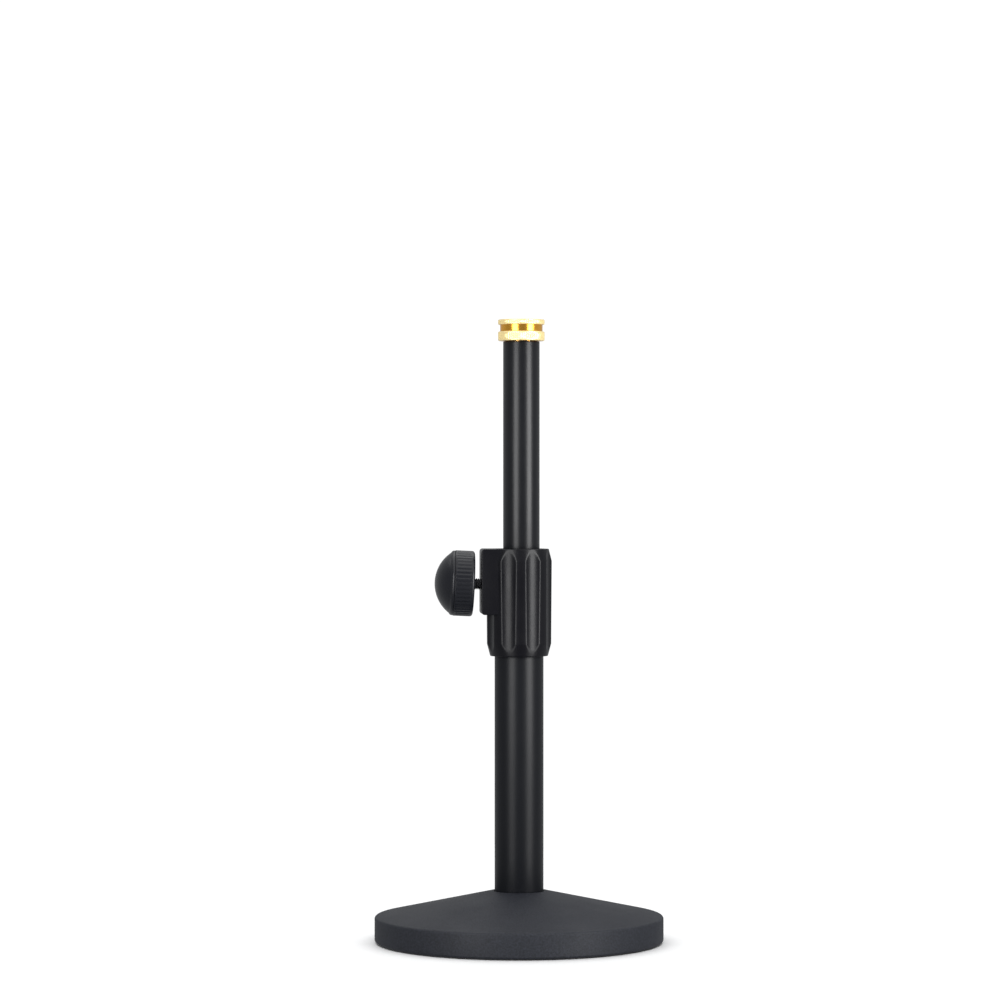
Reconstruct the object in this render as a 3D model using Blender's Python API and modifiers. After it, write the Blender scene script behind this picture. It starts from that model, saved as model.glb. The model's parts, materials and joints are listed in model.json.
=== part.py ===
"""Desktop microphone stand: heavy round base, two telescoping tubes, screw clutch and brass thread end.

Units are metres, +Z is up, and the origin is on the table at the centre of the base.
The clamp knob points to -X and the front of the stand faces -Y.
"""

import math

import bmesh
import bpy
from mathutils import Vector

MM = 0.001

# Gaps that keep neighbouring solids apart.
SEAT_GAP = 0.3 * MM
RUNNING_GAP = 0.15 * MM

# How finely round pieces are divided.
LARGE_SIDES = 64
TUBE_SIDES = 48
SMALL_SIDES = 24
ARC_STEPS = 2
DOME_STEPS = 7

# The collar's long, nearly tangent cuts leave open edges with Blender's default solver.
COLLAR_SOLVER = "MANIFOLD"

# Rubber feet.
FOOT_COUNT = 4
FOOT_RADIUS = 6.0 * MM
FOOT_THICKNESS = 2.0 * MM
FOOT_PROUD = 0.4 * MM
FOOT_EDGE = 0.5 * MM
FOOT_START_DEG = 45.0

# Cast base.
BASE_RADIUS = 75.0 * MM
RIM_HEIGHT = 13.0 * MM
RIM_FILLET = 1.2 * MM
BASE_LOWER_FILLET = 1.5 * MM
HUB_HEIGHT = 26.3 * MM
HUB_LAND = 1.6 * MM
HUB_FILLET = 0.4 * MM
SOCKET_WEB = 4.0 * MM
FOOT_RING_WIDTH = 18.0 * MM
RECESS_DEPTH = 3.8 * MM
RECESS_FILLET = 1.5 * MM
CENTRE_BOSS_WALL = 8.0 * MM
CENTRE_BOSS_INSET = 0.6 * MM

# M8 bolt that pulls the lower tube into the base.
BOLT_RADIUS = 4.0 * MM
BOLT_LENGTH = 20.0 * MM
BOLT_HEAD_HEIGHT = 5.3 * MM
BOLT_HEAD_FLATS = 13.0 * MM
BOLT_CHAMFER = 0.8 * MM
BOLT_HOLE_PLAY = 0.5 * MM
BOLT_HEAD_INSET = 0.7 * MM
WASHER_RADIUS = 8.0 * MM
WASHER_THICKNESS = 1.6 * MM
SPRING_WASHER_RADIUS = 6.6 * MM
SPRING_WASHER_THICKNESS = 2.0 * MM
SPRING_WASHER_SPLIT = 0.9 * MM
COUNTERBORE_PLAY = 4.0 * MM

# Tubes. The lower one's bore is the upper one, its push to the side and some play.
UPPER_TUBE_RADIUS = 9.5 * MM
UPPER_TUBE_WALL = 1.2 * MM
UPPER_TUBE_LENGTH = 160.0 * MM
TUBE_PLAY = 0.8 * MM
LOWER_TUBE_WALL = 1.2 * MM
LOWER_TUBE_LENGTH = 163.0 * MM
PLUG_LENGTH = 18.0 * MM
END_CAP_FLANGE = 2.5 * MM
END_CAP_SPIGOT = 12.0 * MM
END_CAP_HOLE_RADIUS = 3.0 * MM

# The upper tube stands this far above the collar, pushed sideways by the clamp.
TUBE_SHOWING = 107.6 * MM
COLUMN_OFFSET = 1.2 * MM

# Fluted clutch collar.
COLLAR_WALL = 4.0 * MM
COLLAR_DRAFT = 0.3 * MM
COLLAR_HEIGHT = 55.6 * MM
COLLAR_WALL_OVER_TUBE = 29.6 * MM
COLLAR_TOP_CHAMFER = 1.4 * MM
COLLAR_TOP_CHAMFER_HEIGHT = 6.3 * MM
COLLAR_LOWER_CHAMFER = 1.7 * MM
COLLAR_LOWER_CHAMFER_HEIGHT = 6.4 * MM
COLLAR_TURN_DEG = 3.5
FLUTE_COUNT = 8
FLUTE_HALF_WIDTH_DEG = 14.0
FLUTE_DEPTH = 1.4 * MM

# Boss on the collar that holds the clamp nut.
BOSS_PROUD = 3.0 * MM
BOSS_HALF_WIDTH = 12.6 * MM
BOSS_BELOW_CLAMP = 15.7 * MM
BOSS_EDGE = 1.3 * MM
BOSS_FACE_WALL = 2.1 * MM

# Clamp: M6 screw, thin nut, shoe and knob on one slightly tilted axis.
CLAMP_ABOVE_TUBE = 7.7 * MM
CLAMP_TILT_DEG = 2.5
SCREW_RADIUS = 3.0 * MM
SCREW_CHAMFER = 0.6 * MM
SCREW_HEAD_FLATS = 10.0 * MM
SCREW_HEAD_HEIGHT = 4.0 * MM
NUT_FLATS = 10.0 * MM
NUT_THICKNESS = 3.2 * MM
CLAMP_TRAVEL = 2.0 * MM
SHOE_RADIUS = 4.2 * MM
KNOB_GAP = 3.7 * MM
KNOB_RADIUS = 17.0 * MM
KNOB_RIM_LENGTH = 10.2 * MM
KNOB_FACE_CHAMFER = 1.5 * MM
KNOB_FACE_WALL = 2.6 * MM
DOME_HEIGHT = 10.0 * MM
DOME_WALL = 2.0 * MM
KNOB_RIM_WALL = 4.7 * MM
CAP_SPIGOT_DEPTH = 3.0 * MM

# Grub screw that stops the collar turning on the lower tube.
GRUB_RADIUS = 2.0 * MM
GRUB_LENGTH = 3.2 * MM
GRUB_SOCKET_RADIUS = 1.1 * MM
GRUB_SOCKET_DEPTH = 1.6 * MM
GRUB_ABOVE_COLLAR_END = 12.0 * MM

# Thread end: 5/8 inch male thread outside, 3/8 inch female thread through the centre.
THREAD_RADIUS = 7.94 * MM
THREAD_CHAMFER = 0.7 * MM
STUD_BORE_RADIUS = 4.0 * MM
STUD_BORE_CHAMFER = 0.9 * MM
STUD_SPIGOT_LENGTH = 18.0 * MM
STUD_BELOW_RING_TOP = 0.3 * MM
RING_RADIUS = 12.1 * MM
RING_GROOVE_DEPTH = 1.1 * MM
RING_LOWER_BAND = 4.9 * MM
RING_GROOVE = 3.5 * MM
RING_UPPER_BAND = 2.7 * MM
RING_EDGE = 0.6 * MM
RING_BORE_CHAMFER = 0.5 * MM

# Heights in the base, from the table up through the bolt and its washers.
CASTING_BOTTOM = FOOT_PROUD
BOLT_HEAD_TOP = CASTING_BOTTOM + BOLT_HEAD_INSET + BOLT_HEAD_HEIGHT
SPRING_WASHER_BOTTOM = BOLT_HEAD_TOP + SEAT_GAP
WASHER_BOTTOM = SPRING_WASHER_BOTTOM + SPRING_WASHER_THICKNESS + SEAT_GAP
COUNTERBORE_CEILING = WASHER_BOTTOM + WASHER_THICKNESS + SEAT_GAP
SOCKET_FLOOR = COUNTERBORE_CEILING + SOCKET_WEB
HUB_TOP = CASTING_BOTTOM + HUB_HEIGHT

# Radii that fit round each other, from the upper tube out.
UPPER_TUBE_BORE = UPPER_TUBE_RADIUS - UPPER_TUBE_WALL
BUSH_BORE = UPPER_TUBE_RADIUS + COLUMN_OFFSET + RUNNING_GAP
LOWER_TUBE_BORE = UPPER_TUBE_RADIUS + COLUMN_OFFSET + TUBE_PLAY
LOWER_TUBE_RADIUS = LOWER_TUBE_BORE + LOWER_TUBE_WALL
COLLAR_BORE = LOWER_TUBE_RADIUS + SEAT_GAP
COLLAR_RADIUS = COLLAR_BORE + COLLAR_WALL
COLLAR_LOWER_RADIUS = COLLAR_RADIUS - COLLAR_DRAFT
BOSS_REACH = COLLAR_RADIUS + BOSS_PROUD
CAP_SPIGOT_RADIUS = KNOB_RADIUS - KNOB_RIM_WALL - SEAT_GAP
RING_GROOVE_RADIUS = RING_RADIUS - RING_GROOVE_DEPTH

# Heights of the tubes, the collar and the thread end.
LOWER_TUBE_BOTTOM = SOCKET_FLOOR + SEAT_GAP
LOWER_TUBE_TOP = LOWER_TUBE_BOTTOM + LOWER_TUBE_LENGTH
COLLAR_BOTTOM = LOWER_TUBE_TOP - COLLAR_WALL_OVER_TUBE
COLLAR_TOP = COLLAR_BOTTOM + COLLAR_HEIGHT
CLAMP_HEIGHT = LOWER_TUBE_TOP + CLAMP_ABOVE_TUBE
BOSS_BOTTOM = CLAMP_HEIGHT - BOSS_BELOW_CLAMP
UPPER_TUBE_TOP = COLLAR_TOP + TUBE_SHOWING
UPPER_TUBE_BOTTOM = UPPER_TUBE_TOP - UPPER_TUBE_LENGTH
RING_BOTTOM = UPPER_TUBE_TOP + SEAT_GAP
RING_TOP = RING_BOTTOM + RING_LOWER_BAND + RING_GROOVE + RING_UPPER_BAND

# Distances along the clamp axis from the boss face, positive towards the knob.
TUBE_FROM_BOSS_FACE = -(BOSS_REACH + COLUMN_OFFSET - UPPER_TUBE_RADIUS)
NUT_OUTER = -(BOSS_FACE_WALL + SEAT_GAP)
NUT_INNER = NUT_OUTER - NUT_THICKNESS
SHOE_BACK = NUT_INNER - SEAT_GAP - CLAMP_TRAVEL
SCREW_TIP = SHOE_BACK + SEAT_GAP
KNOB_FACE = KNOB_GAP
KNOB_DOME_START = KNOB_FACE + KNOB_RIM_LENGTH
CAP_RECESS_FLOOR = KNOB_DOME_START - CAP_SPIGOT_DEPTH - SEAT_GAP
SCREW_HEAD_START = KNOB_FACE + KNOB_FACE_WALL + SEAT_GAP
KNOB_TIP = KNOB_DOME_START + DOME_HEIGHT


def clear_scene():
    """Empty the file of whatever it opened with."""
    for old in list(bpy.data.objects):
        bpy.data.objects.remove(old, do_unlink=True)


def new_collection(name):
    made = bpy.data.collections.new(name)
    bpy.context.scene.collection.children.link(made)
    return made


def finish(name, colour, roughness, metallic):
    """A plain surface finish for one sub-part."""
    material = bpy.data.materials.new(name)
    material.use_nodes = True
    shader = material.node_tree.nodes["Principled BSDF"]
    shader.inputs["Base Color"].default_value = (*colour, 1.0)
    shader.inputs["Roughness"].default_value = roughness
    shader.inputs["Metallic"].default_value = metallic
    return material


def powder_coat(name):
    return finish(name, (0.052, 0.054, 0.060), 0.62, 0.0)


def black_tube_coat(name):
    return finish(name, (0.020, 0.021, 0.023), 0.38, 0.0)


def black_plastic(name):
    return finish(name, (0.022, 0.023, 0.026), 0.45, 0.0)


def natural_nylon(name):
    return finish(name, (0.72, 0.70, 0.64), 0.5, 0.0)


def black_rubber(name):
    return finish(name, (0.016, 0.016, 0.017), 0.8, 0.0)


def zinc_steel(name):
    return finish(name, (0.56, 0.57, 0.58), 0.35, 1.0)


def black_steel(name):
    return finish(name, (0.045, 0.045, 0.048), 0.4, 1.0)


def polished_brass(name):
    return finish(name, (0.83, 0.60, 0.24), 0.2, 1.0)


def add_object(name, mesh, group, parent=None):
    made = bpy.data.objects.new(name, mesh)
    group.objects.link(made)
    made.parent = parent
    return made


def add_frame(name, group, location=(0.0, 0.0, 0.0), rotation=(0.0, 0.0, 0.0), parent=None):
    """An empty that carries the pieces sharing one axis."""
    frame = bpy.data.objects.new(name, None)
    frame.empty_display_size = 10 * MM
    group.objects.link(frame)
    frame.location = location
    frame.rotation_euler = rotation
    frame.parent = parent
    return frame


def filleted(corners, closed):
    """Outline points through corners (radius, height, fillet), each fillet drawn as an arc."""
    points = []
    last = len(corners) - 1
    for index, (x, z, fillet) in enumerate(corners):
        corner = Vector((x, z))
        at_end = not closed and index in (0, last)
        if fillet == 0.0 or at_end:
            points.append(corner)
            continue
        before = (Vector(corners[index - 1][:2]) - corner).normalized()
        after = (Vector(corners[(index + 1) % len(corners)][:2]) - corner).normalized()
        half = before.angle(after) / 2
        centre = corner + (before + after).normalized() * fillet / math.sin(half)
        start = (corner + before * fillet / math.tan(half) - centre).normalized()
        end = (corner + after * fillet / math.tan(half) - centre).normalized()
        for step in range(ARC_STEPS + 1):
            points.append(centre + start.slerp(end, step / ARC_STEPS) * fillet)
    return points


def shade(mesh):
    mesh.shade_smooth()
    mesh.set_sharp_from_angle(angle=math.radians(35))


def turned(name, corners, sides, group, parent=None, closed=True):
    """A lathe-turned piece: its half outline, outer side running down, spun about local Z."""
    mesh = bpy.data.meshes.new(name)
    outline = bmesh.new()
    verts = [outline.verts.new((p.x, 0.0, p.y)) for p in filleted(corners, closed)]
    for first, second in zip(verts, verts[1:]):
        outline.edges.new((first, second))
    if closed:
        outline.edges.new((verts[-1], verts[0]))
    outline.to_mesh(mesh)
    outline.free()
    piece = add_object(name, mesh, group, parent)
    spin = piece.modifiers.new("spin", "SCREW")
    spin.steps = sides
    spin.render_steps = sides
    spin.use_merge_vertices = True
    spin.merge_threshold = 0.00001
    spin.use_smooth_shade = True
    return piece


def prism(name, sides, radius, bottom, top, group, parent=None):
    """A straight round or many-sided bar along local Z."""
    mesh = bpy.data.meshes.new(name)
    shape = bmesh.new()
    bmesh.ops.create_cone(
        shape, cap_ends=True, segments=sides, radius1=radius, radius2=radius, depth=top - bottom
    )
    bmesh.ops.translate(shape, verts=shape.verts, vec=(0.0, 0.0, (bottom + top) / 2))
    shape.to_mesh(mesh)
    shape.free()
    shade(mesh)
    return add_object(name, mesh, group, parent)


def block(name, low, high, group, parent=None):
    """A rectangular block between two corners."""
    mesh = bpy.data.meshes.new(name)
    shape = bmesh.new()
    bmesh.ops.create_cube(shape, size=1.0)
    size = [b - a for a, b in zip(low, high)]
    middle = [(a + b) / 2 for a, b in zip(low, high)]
    bmesh.ops.scale(shape, verts=shape.verts, vec=size)
    bmesh.ops.translate(shape, verts=shape.verts, vec=middle)
    shape.to_mesh(mesh)
    shape.free()
    return add_object(name, mesh, group, parent)


def hide_helper(helper):
    helper.display_type = "WIRE"
    helper.hide_render = True


def combine(piece, helper, operation, solver="EXACT"):
    """Join the helper to the piece or cut it from the piece."""
    hide_helper(helper)
    step = piece.modifiers.new(helper.name, "BOOLEAN")
    step.operation = operation
    step.object = helper
    step.solver = solver


def corner_radius(across_flats):
    """Corner radius of a hexagon measured across its flats."""
    return across_flats / 2 / math.cos(math.pi / 6)


def paint(piece, material):
    piece.data.materials.append(material)


def make_base(parts, cutters):
    hub_radius = LOWER_TUBE_RADIUS + HUB_LAND
    boss_radius = WASHER_RADIUS + COUNTERBORE_PLAY
    recess_ceiling = CASTING_BOTTOM + RECESS_DEPTH
    recess_outer = BASE_RADIUS - FOOT_RING_WIDTH
    centre_bottom = CASTING_BOTTOM + CENTRE_BOSS_INSET
    hole = BOLT_RADIUS + BOLT_HOLE_PLAY
    socket = LOWER_TUBE_RADIUS + SEAT_GAP
    corners = [
        (socket, HUB_TOP, 0.0),
        (hub_radius, HUB_TOP, HUB_FILLET),
        (BASE_RADIUS, CASTING_BOTTOM + RIM_HEIGHT, RIM_FILLET),
        (BASE_RADIUS, CASTING_BOTTOM, BASE_LOWER_FILLET),
        (recess_outer, CASTING_BOTTOM, 0.0),
        (recess_outer, recess_ceiling, RECESS_FILLET),
        (boss_radius + CENTRE_BOSS_WALL, recess_ceiling, RECESS_FILLET),
        (boss_radius + CENTRE_BOSS_WALL, centre_bottom, 0.0),
        (boss_radius, centre_bottom, 0.0),
        (boss_radius, COUNTERBORE_CEILING, 0.0),
        (hole, COUNTERBORE_CEILING, 0.0),
        (hole, SOCKET_FLOOR, 0.0),
        (socket, SOCKET_FLOOR, 0.0),
    ]
    casting = turned("base_casting", corners, LARGE_SIDES, parts)
    paint(casting, powder_coat("base_powder_coat"))
    rubber = black_rubber("foot_rubber")
    foot_circle = BASE_RADIUS - FOOT_RING_WIDTH / 2
    for number in range(FOOT_COUNT):
        angle = math.radians(FOOT_START_DEG) + math.tau * number / FOOT_COUNT
        place = (foot_circle * math.cos(angle), foot_circle * math.sin(angle), 0.0)
        pocket = prism(
            f"foot_pocket_{number + 1}",
            SMALL_SIDES,
            FOOT_RADIUS + SEAT_GAP,
            0.0,
            FOOT_THICKNESS + SEAT_GAP,
            cutters,
        )
        pocket.location = place
        combine(casting, pocket, "DIFFERENCE")
        pad_corners = [
            (0.0, FOOT_THICKNESS, 0.0),
            (FOOT_RADIUS, FOOT_THICKNESS, 0.0),
            (FOOT_RADIUS, 0.0, FOOT_EDGE),
            (0.0, 0.0, 0.0),
        ]
        pad = turned(f"foot_pad_{number + 1}", pad_corners, SMALL_SIDES, parts, closed=False)
        pad.location = place
        paint(pad, rubber)


def make_base_fastening(parts, cutters):
    washer_top = WASHER_BOTTOM + WASHER_THICKNESS
    spring_top = SPRING_WASHER_BOTTOM + SPRING_WASHER_THICKNESS
    washer_bore = BOLT_RADIUS + SEAT_GAP
    washer = turned(
        "base_flat_washer",
        [
            (washer_bore, washer_top, 0.0),
            (WASHER_RADIUS, washer_top, 0.0),
            (WASHER_RADIUS, WASHER_BOTTOM, 0.0),
            (washer_bore, WASHER_BOTTOM, 0.0),
        ],
        SMALL_SIDES,
        parts,
    )
    paint(washer, zinc_steel("flat_washer_zinc"))
    spring = turned(
        "base_spring_washer",
        [
            (washer_bore, spring_top, 0.0),
            (SPRING_WASHER_RADIUS, spring_top, 0.0),
            (SPRING_WASHER_RADIUS, SPRING_WASHER_BOTTOM, 0.0),
            (washer_bore, SPRING_WASHER_BOTTOM, 0.0),
        ],
        SMALL_SIDES,
        parts,
    )
    split = block(
        "spring_washer_split",
        (0.0, -SPRING_WASHER_SPLIT / 2, SPRING_WASHER_BOTTOM - SEAT_GAP),
        (SPRING_WASHER_RADIUS + SEAT_GAP, SPRING_WASHER_SPLIT / 2, spring_top + SEAT_GAP),
        cutters,
    )
    combine(spring, split, "DIFFERENCE")
    paint(spring, zinc_steel("spring_washer_zinc"))
    bolt = turned(
        "base_bolt",
        [
            (0.0, BOLT_HEAD_TOP + BOLT_LENGTH, 0.0),
            (BOLT_RADIUS - BOLT_CHAMFER, BOLT_HEAD_TOP + BOLT_LENGTH, 0.0),
            (BOLT_RADIUS, BOLT_HEAD_TOP + BOLT_LENGTH - BOLT_CHAMFER, 0.0),
            (BOLT_RADIUS, BOLT_HEAD_TOP - BOLT_HEAD_HEIGHT / 2, 0.0),
            (0.0, BOLT_HEAD_TOP - BOLT_HEAD_HEIGHT / 2, 0.0),
        ],
        SMALL_SIDES,
        parts,
        closed=False,
    )
    head = prism(
        "bolt_head",
        6,
        corner_radius(BOLT_HEAD_FLATS),
        BOLT_HEAD_TOP - BOLT_HEAD_HEIGHT,
        BOLT_HEAD_TOP,
        cutters,
    )
    combine(bolt, head, "UNION")
    paint(bolt, zinc_steel("bolt_zinc"))


def make_lower_tube(parts):
    tube = turned(
        "lower_tube",
        [
            (LOWER_TUBE_BORE, LOWER_TUBE_TOP, 0.0),
            (LOWER_TUBE_RADIUS, LOWER_TUBE_TOP, 0.0),
            (LOWER_TUBE_RADIUS, LOWER_TUBE_BOTTOM, 0.0),
            (LOWER_TUBE_BORE, LOWER_TUBE_BOTTOM, 0.0),
        ],
        TUBE_SIDES,
        parts,
    )
    paint(tube, black_tube_coat("lower_tube_coat"))
    plug_bore = BOLT_RADIUS + SEAT_GAP
    plug_radius = LOWER_TUBE_BORE - SEAT_GAP
    plug = turned(
        "lower_tube_plug",
        [
            (plug_bore, LOWER_TUBE_BOTTOM + PLUG_LENGTH, 0.0),
            (plug_radius, LOWER_TUBE_BOTTOM + PLUG_LENGTH, 0.0),
            (plug_radius, LOWER_TUBE_BOTTOM, 0.0),
            (plug_bore, LOWER_TUBE_BOTTOM, 0.0),
        ],
        TUBE_SIDES,
        parts,
    )
    paint(plug, zinc_steel("plug_steel"))


def make_collar(parts, cutters, collar_frame, clamp_frame):
    collar = turned(
        "clutch_collar",
        [
            (0.0, COLLAR_TOP, 0.0),
            (COLLAR_RADIUS - COLLAR_TOP_CHAMFER, COLLAR_TOP, 0.0),
            (COLLAR_RADIUS, COLLAR_TOP - COLLAR_TOP_CHAMFER_HEIGHT, 0.0),
            (COLLAR_LOWER_RADIUS, COLLAR_BOTTOM + COLLAR_LOWER_CHAMFER_HEIGHT, 0.0),
            (COLLAR_LOWER_RADIUS - COLLAR_LOWER_CHAMFER, COLLAR_BOTTOM, 0.0),
            (0.0, COLLAR_BOTTOM, 0.0),
        ],
        LARGE_SIDES,
        parts,
        collar_frame,
        closed=False,
    )
    half_angle = math.radians(FLUTE_HALF_WIDTH_DEG)
    half_chord = COLLAR_RADIUS * math.sin(half_angle)
    chord_depth = FLUTE_DEPTH - COLLAR_RADIUS * (1 - math.cos(half_angle))
    flute_radius = (half_chord**2 + chord_depth**2) / (2 * chord_depth)
    flute_centre = COLLAR_RADIUS - FLUTE_DEPTH + flute_radius
    for number in range(FLUTE_COUNT):
        angle = math.tau * (number + 0.5) / FLUTE_COUNT
        flute = prism(
            f"flute_{number + 1}",
            LARGE_SIDES,
            flute_radius,
            COLLAR_BOTTOM - SEAT_GAP,
            COLLAR_TOP + SEAT_GAP,
            cutters,
            collar_frame,
        )
        flute.location = (flute_centre * math.cos(angle), flute_centre * math.sin(angle), 0.0)
        combine(collar, flute, "DIFFERENCE", COLLAR_SOLVER)
    boss = block(
        "nut_boss",
        (-BOSS_REACH, -BOSS_HALF_WIDTH, BOSS_BOTTOM),
        (-COLLAR_BORE / 2, BOSS_HALF_WIDTH, COLLAR_TOP),
        cutters,
        collar_frame,
    )
    edges = boss.modifiers.new("edges", "BEVEL")
    edges.width = BOSS_EDGE
    edges.segments = ARC_STEPS
    combine(collar, boss, "UNION", COLLAR_SOLVER)
    bore = prism(
        "collar_bore",
        TUBE_SIDES,
        COLLAR_BORE,
        COLLAR_BOTTOM - SEAT_GAP,
        COLLAR_TOP + SEAT_GAP,
        cutters,
        collar_frame,
    )
    combine(collar, bore, "DIFFERENCE", COLLAR_SOLVER)
    nut_pocket = prism(
        "nut_pocket",
        6,
        corner_radius(NUT_FLATS) + SEAT_GAP,
        COLLAR_BORE / 2 - BOSS_REACH,
        -BOSS_FACE_WALL,
        cutters,
        clamp_frame,
    )
    combine(collar, nut_pocket, "DIFFERENCE", COLLAR_SOLVER)
    screw_hole = prism(
        "screw_hole",
        SMALL_SIDES,
        SCREW_RADIUS + SEAT_GAP,
        -BOSS_FACE_WALL - SEAT_GAP,
        KNOB_GAP,
        cutters,
        clamp_frame,
    )
    combine(collar, screw_hole, "DIFFERENCE", COLLAR_SOLVER)
    paint(collar, black_plastic("collar_plastic"))
    return collar


def make_guide_bush(parts, cutters, collar_frame, clamp_frame):
    bottom = LOWER_TUBE_TOP + SEAT_GAP
    top = COLLAR_TOP - SEAT_GAP
    bush = turned(
        "guide_bush",
        [
            (BUSH_BORE, top, 0.0),
            (LOWER_TUBE_RADIUS, top, 0.0),
            (LOWER_TUBE_RADIUS, bottom, 0.0),
            (BUSH_BORE, bottom, 0.0),
        ],
        TUBE_SIDES,
        parts,
        collar_frame,
    )
    shoe_hole = prism(
        "shoe_hole",
        SMALL_SIDES,
        SHOE_RADIUS + SEAT_GAP,
        COLLAR_BORE / 2 - BOSS_REACH,
        0.0,
        cutters,
        clamp_frame,
    )
    combine(bush, shoe_hole, "DIFFERENCE")
    paint(bush, black_plastic("bush_plastic"))


def make_collar_grub(parts, cutters, collar, collar_frame):
    """A grub screw in the plain land at the back of the collar, pressing on the lower tube."""
    grub_frame = add_frame(
        "grub_axis",
        parts,
        (0.0, 0.0, COLLAR_BOTTOM + GRUB_ABOVE_COLLAR_END),
        (-math.pi / 2, 0.0, 0.0),
        collar_frame,
    )
    hole = prism(
        "grub_hole",
        SMALL_SIDES,
        GRUB_RADIUS + SEAT_GAP,
        COLLAR_BORE / 2,
        COLLAR_RADIUS + SEAT_GAP,
        cutters,
        grub_frame,
    )
    combine(collar, hole, "DIFFERENCE", COLLAR_SOLVER)
    inner = LOWER_TUBE_RADIUS + SEAT_GAP
    outer = inner + GRUB_LENGTH
    grub = prism("collar_grub_screw", SMALL_SIDES, GRUB_RADIUS, inner, outer, parts, grub_frame)
    socket = prism(
        "grub_socket", 6, GRUB_SOCKET_RADIUS, outer - GRUB_SOCKET_DEPTH, outer + SEAT_GAP, cutters, grub_frame
    )
    combine(grub, socket, "DIFFERENCE")
    paint(grub, black_steel("grub_steel"))


def make_screw_and_shoe(parts, cutters, collar_frame, clamp_frame):
    nut = prism("clamp_nut", 6, corner_radius(NUT_FLATS), NUT_INNER, NUT_OUTER, parts, clamp_frame)
    nut_bore = prism(
        "nut_bore",
        SMALL_SIDES,
        SCREW_RADIUS + SEAT_GAP,
        NUT_INNER - SEAT_GAP,
        NUT_OUTER + SEAT_GAP,
        cutters,
        clamp_frame,
    )
    combine(nut, nut_bore, "DIFFERENCE")
    paint(nut, zinc_steel("nut_zinc"))
    shoe = prism(
        "pressure_shoe",
        SMALL_SIDES,
        SHOE_RADIUS,
        TUBE_FROM_BOSS_FACE - SHOE_RADIUS / 2,
        SHOE_BACK,
        parts,
        clamp_frame,
    )
    tube_seat = prism(
        "shoe_seat",
        TUBE_SIDES,
        UPPER_TUBE_RADIUS + RUNNING_GAP,
        CLAMP_HEIGHT - 2 * SHOE_RADIUS,
        CLAMP_HEIGHT + 2 * SHOE_RADIUS,
        cutters,
        collar_frame,
    )
    tube_seat.location.x = COLUMN_OFFSET
    combine(shoe, tube_seat, "DIFFERENCE")
    paint(shoe, natural_nylon("shoe_nylon"))
    screw = turned(
        "clamp_screw",
        [
            (0.0, SCREW_HEAD_START + SCREW_HEAD_HEIGHT / 2, 0.0),
            (SCREW_RADIUS, SCREW_HEAD_START + SCREW_HEAD_HEIGHT / 2, 0.0),
            (SCREW_RADIUS, SCREW_TIP + SCREW_CHAMFER, 0.0),
            (SCREW_RADIUS - SCREW_CHAMFER, SCREW_TIP, 0.0),
            (0.0, SCREW_TIP, 0.0),
        ],
        SMALL_SIDES,
        parts,
        clamp_frame,
        closed=False,
    )
    head = prism(
        "screw_head",
        6,
        corner_radius(SCREW_HEAD_FLATS),
        SCREW_HEAD_START,
        SCREW_HEAD_START + SCREW_HEAD_HEIGHT,
        cutters,
        clamp_frame,
    )
    combine(screw, head, "UNION")
    paint(screw, black_steel("screw_steel"))


def make_knob(parts, cutters, clamp_frame):
    bore = SCREW_RADIUS + SEAT_GAP
    recess = CAP_SPIGOT_RADIUS + SEAT_GAP
    knob = turned(
        "clamp_knob",
        [
            (recess, KNOB_DOME_START, 0.0),
            (KNOB_RADIUS, KNOB_DOME_START, 0.0),
            (KNOB_RADIUS, KNOB_FACE + KNOB_FACE_CHAMFER, 0.0),
            (KNOB_RADIUS - KNOB_FACE_CHAMFER, KNOB_FACE, 0.0),
            (bore, KNOB_FACE, 0.0),
            (bore, CAP_RECESS_FLOOR, 0.0),
            (recess, CAP_RECESS_FLOOR, 0.0),
        ],
        TUBE_SIDES,
        parts,
        clamp_frame,
    )
    head_pocket = prism(
        "head_pocket",
        6,
        corner_radius(SCREW_HEAD_FLATS) + SEAT_GAP,
        KNOB_FACE + KNOB_FACE_WALL,
        KNOB_DOME_START,
        cutters,
        clamp_frame,
    )
    combine(knob, head_pocket, "DIFFERENCE")
    paint(knob, black_plastic("knob_plastic"))


def make_knob_cap(parts, clamp_frame):
    """The domed cover: a spherical shell with a round spigot that snaps into the knob."""
    start = KNOB_DOME_START + SEAT_GAP
    height = KNOB_TIP - start
    sphere = (KNOB_RADIUS**2 + height**2) / (2 * height)
    centre = KNOB_TIP - sphere
    rim_angle = math.acos((start - centre) / sphere)
    inner = sphere - DOME_WALL
    spigot_inner = CAP_SPIGOT_RADIUS - DOME_WALL
    inner_angle = math.asin(spigot_inner / inner)
    corners = []
    for step in range(DOME_STEPS + 1):
        angle = rim_angle * step / DOME_STEPS
        corners.append((sphere * math.sin(angle), centre + sphere * math.cos(angle), 0.0))
    corners.append((CAP_SPIGOT_RADIUS, start, 0.0))
    corners.append((CAP_SPIGOT_RADIUS, start - CAP_SPIGOT_DEPTH, 0.0))
    corners.append((spigot_inner, start - CAP_SPIGOT_DEPTH, 0.0))
    for step in range(DOME_STEPS + 1):
        angle = inner_angle * (1 - step / DOME_STEPS)
        corners.append((inner * math.sin(angle), centre + inner * math.cos(angle), 0.0))
    cap = turned("knob_cap", corners, TUBE_SIDES, parts, clamp_frame, closed=False)
    paint(cap, black_plastic("knob_cap_plastic"))


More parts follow.
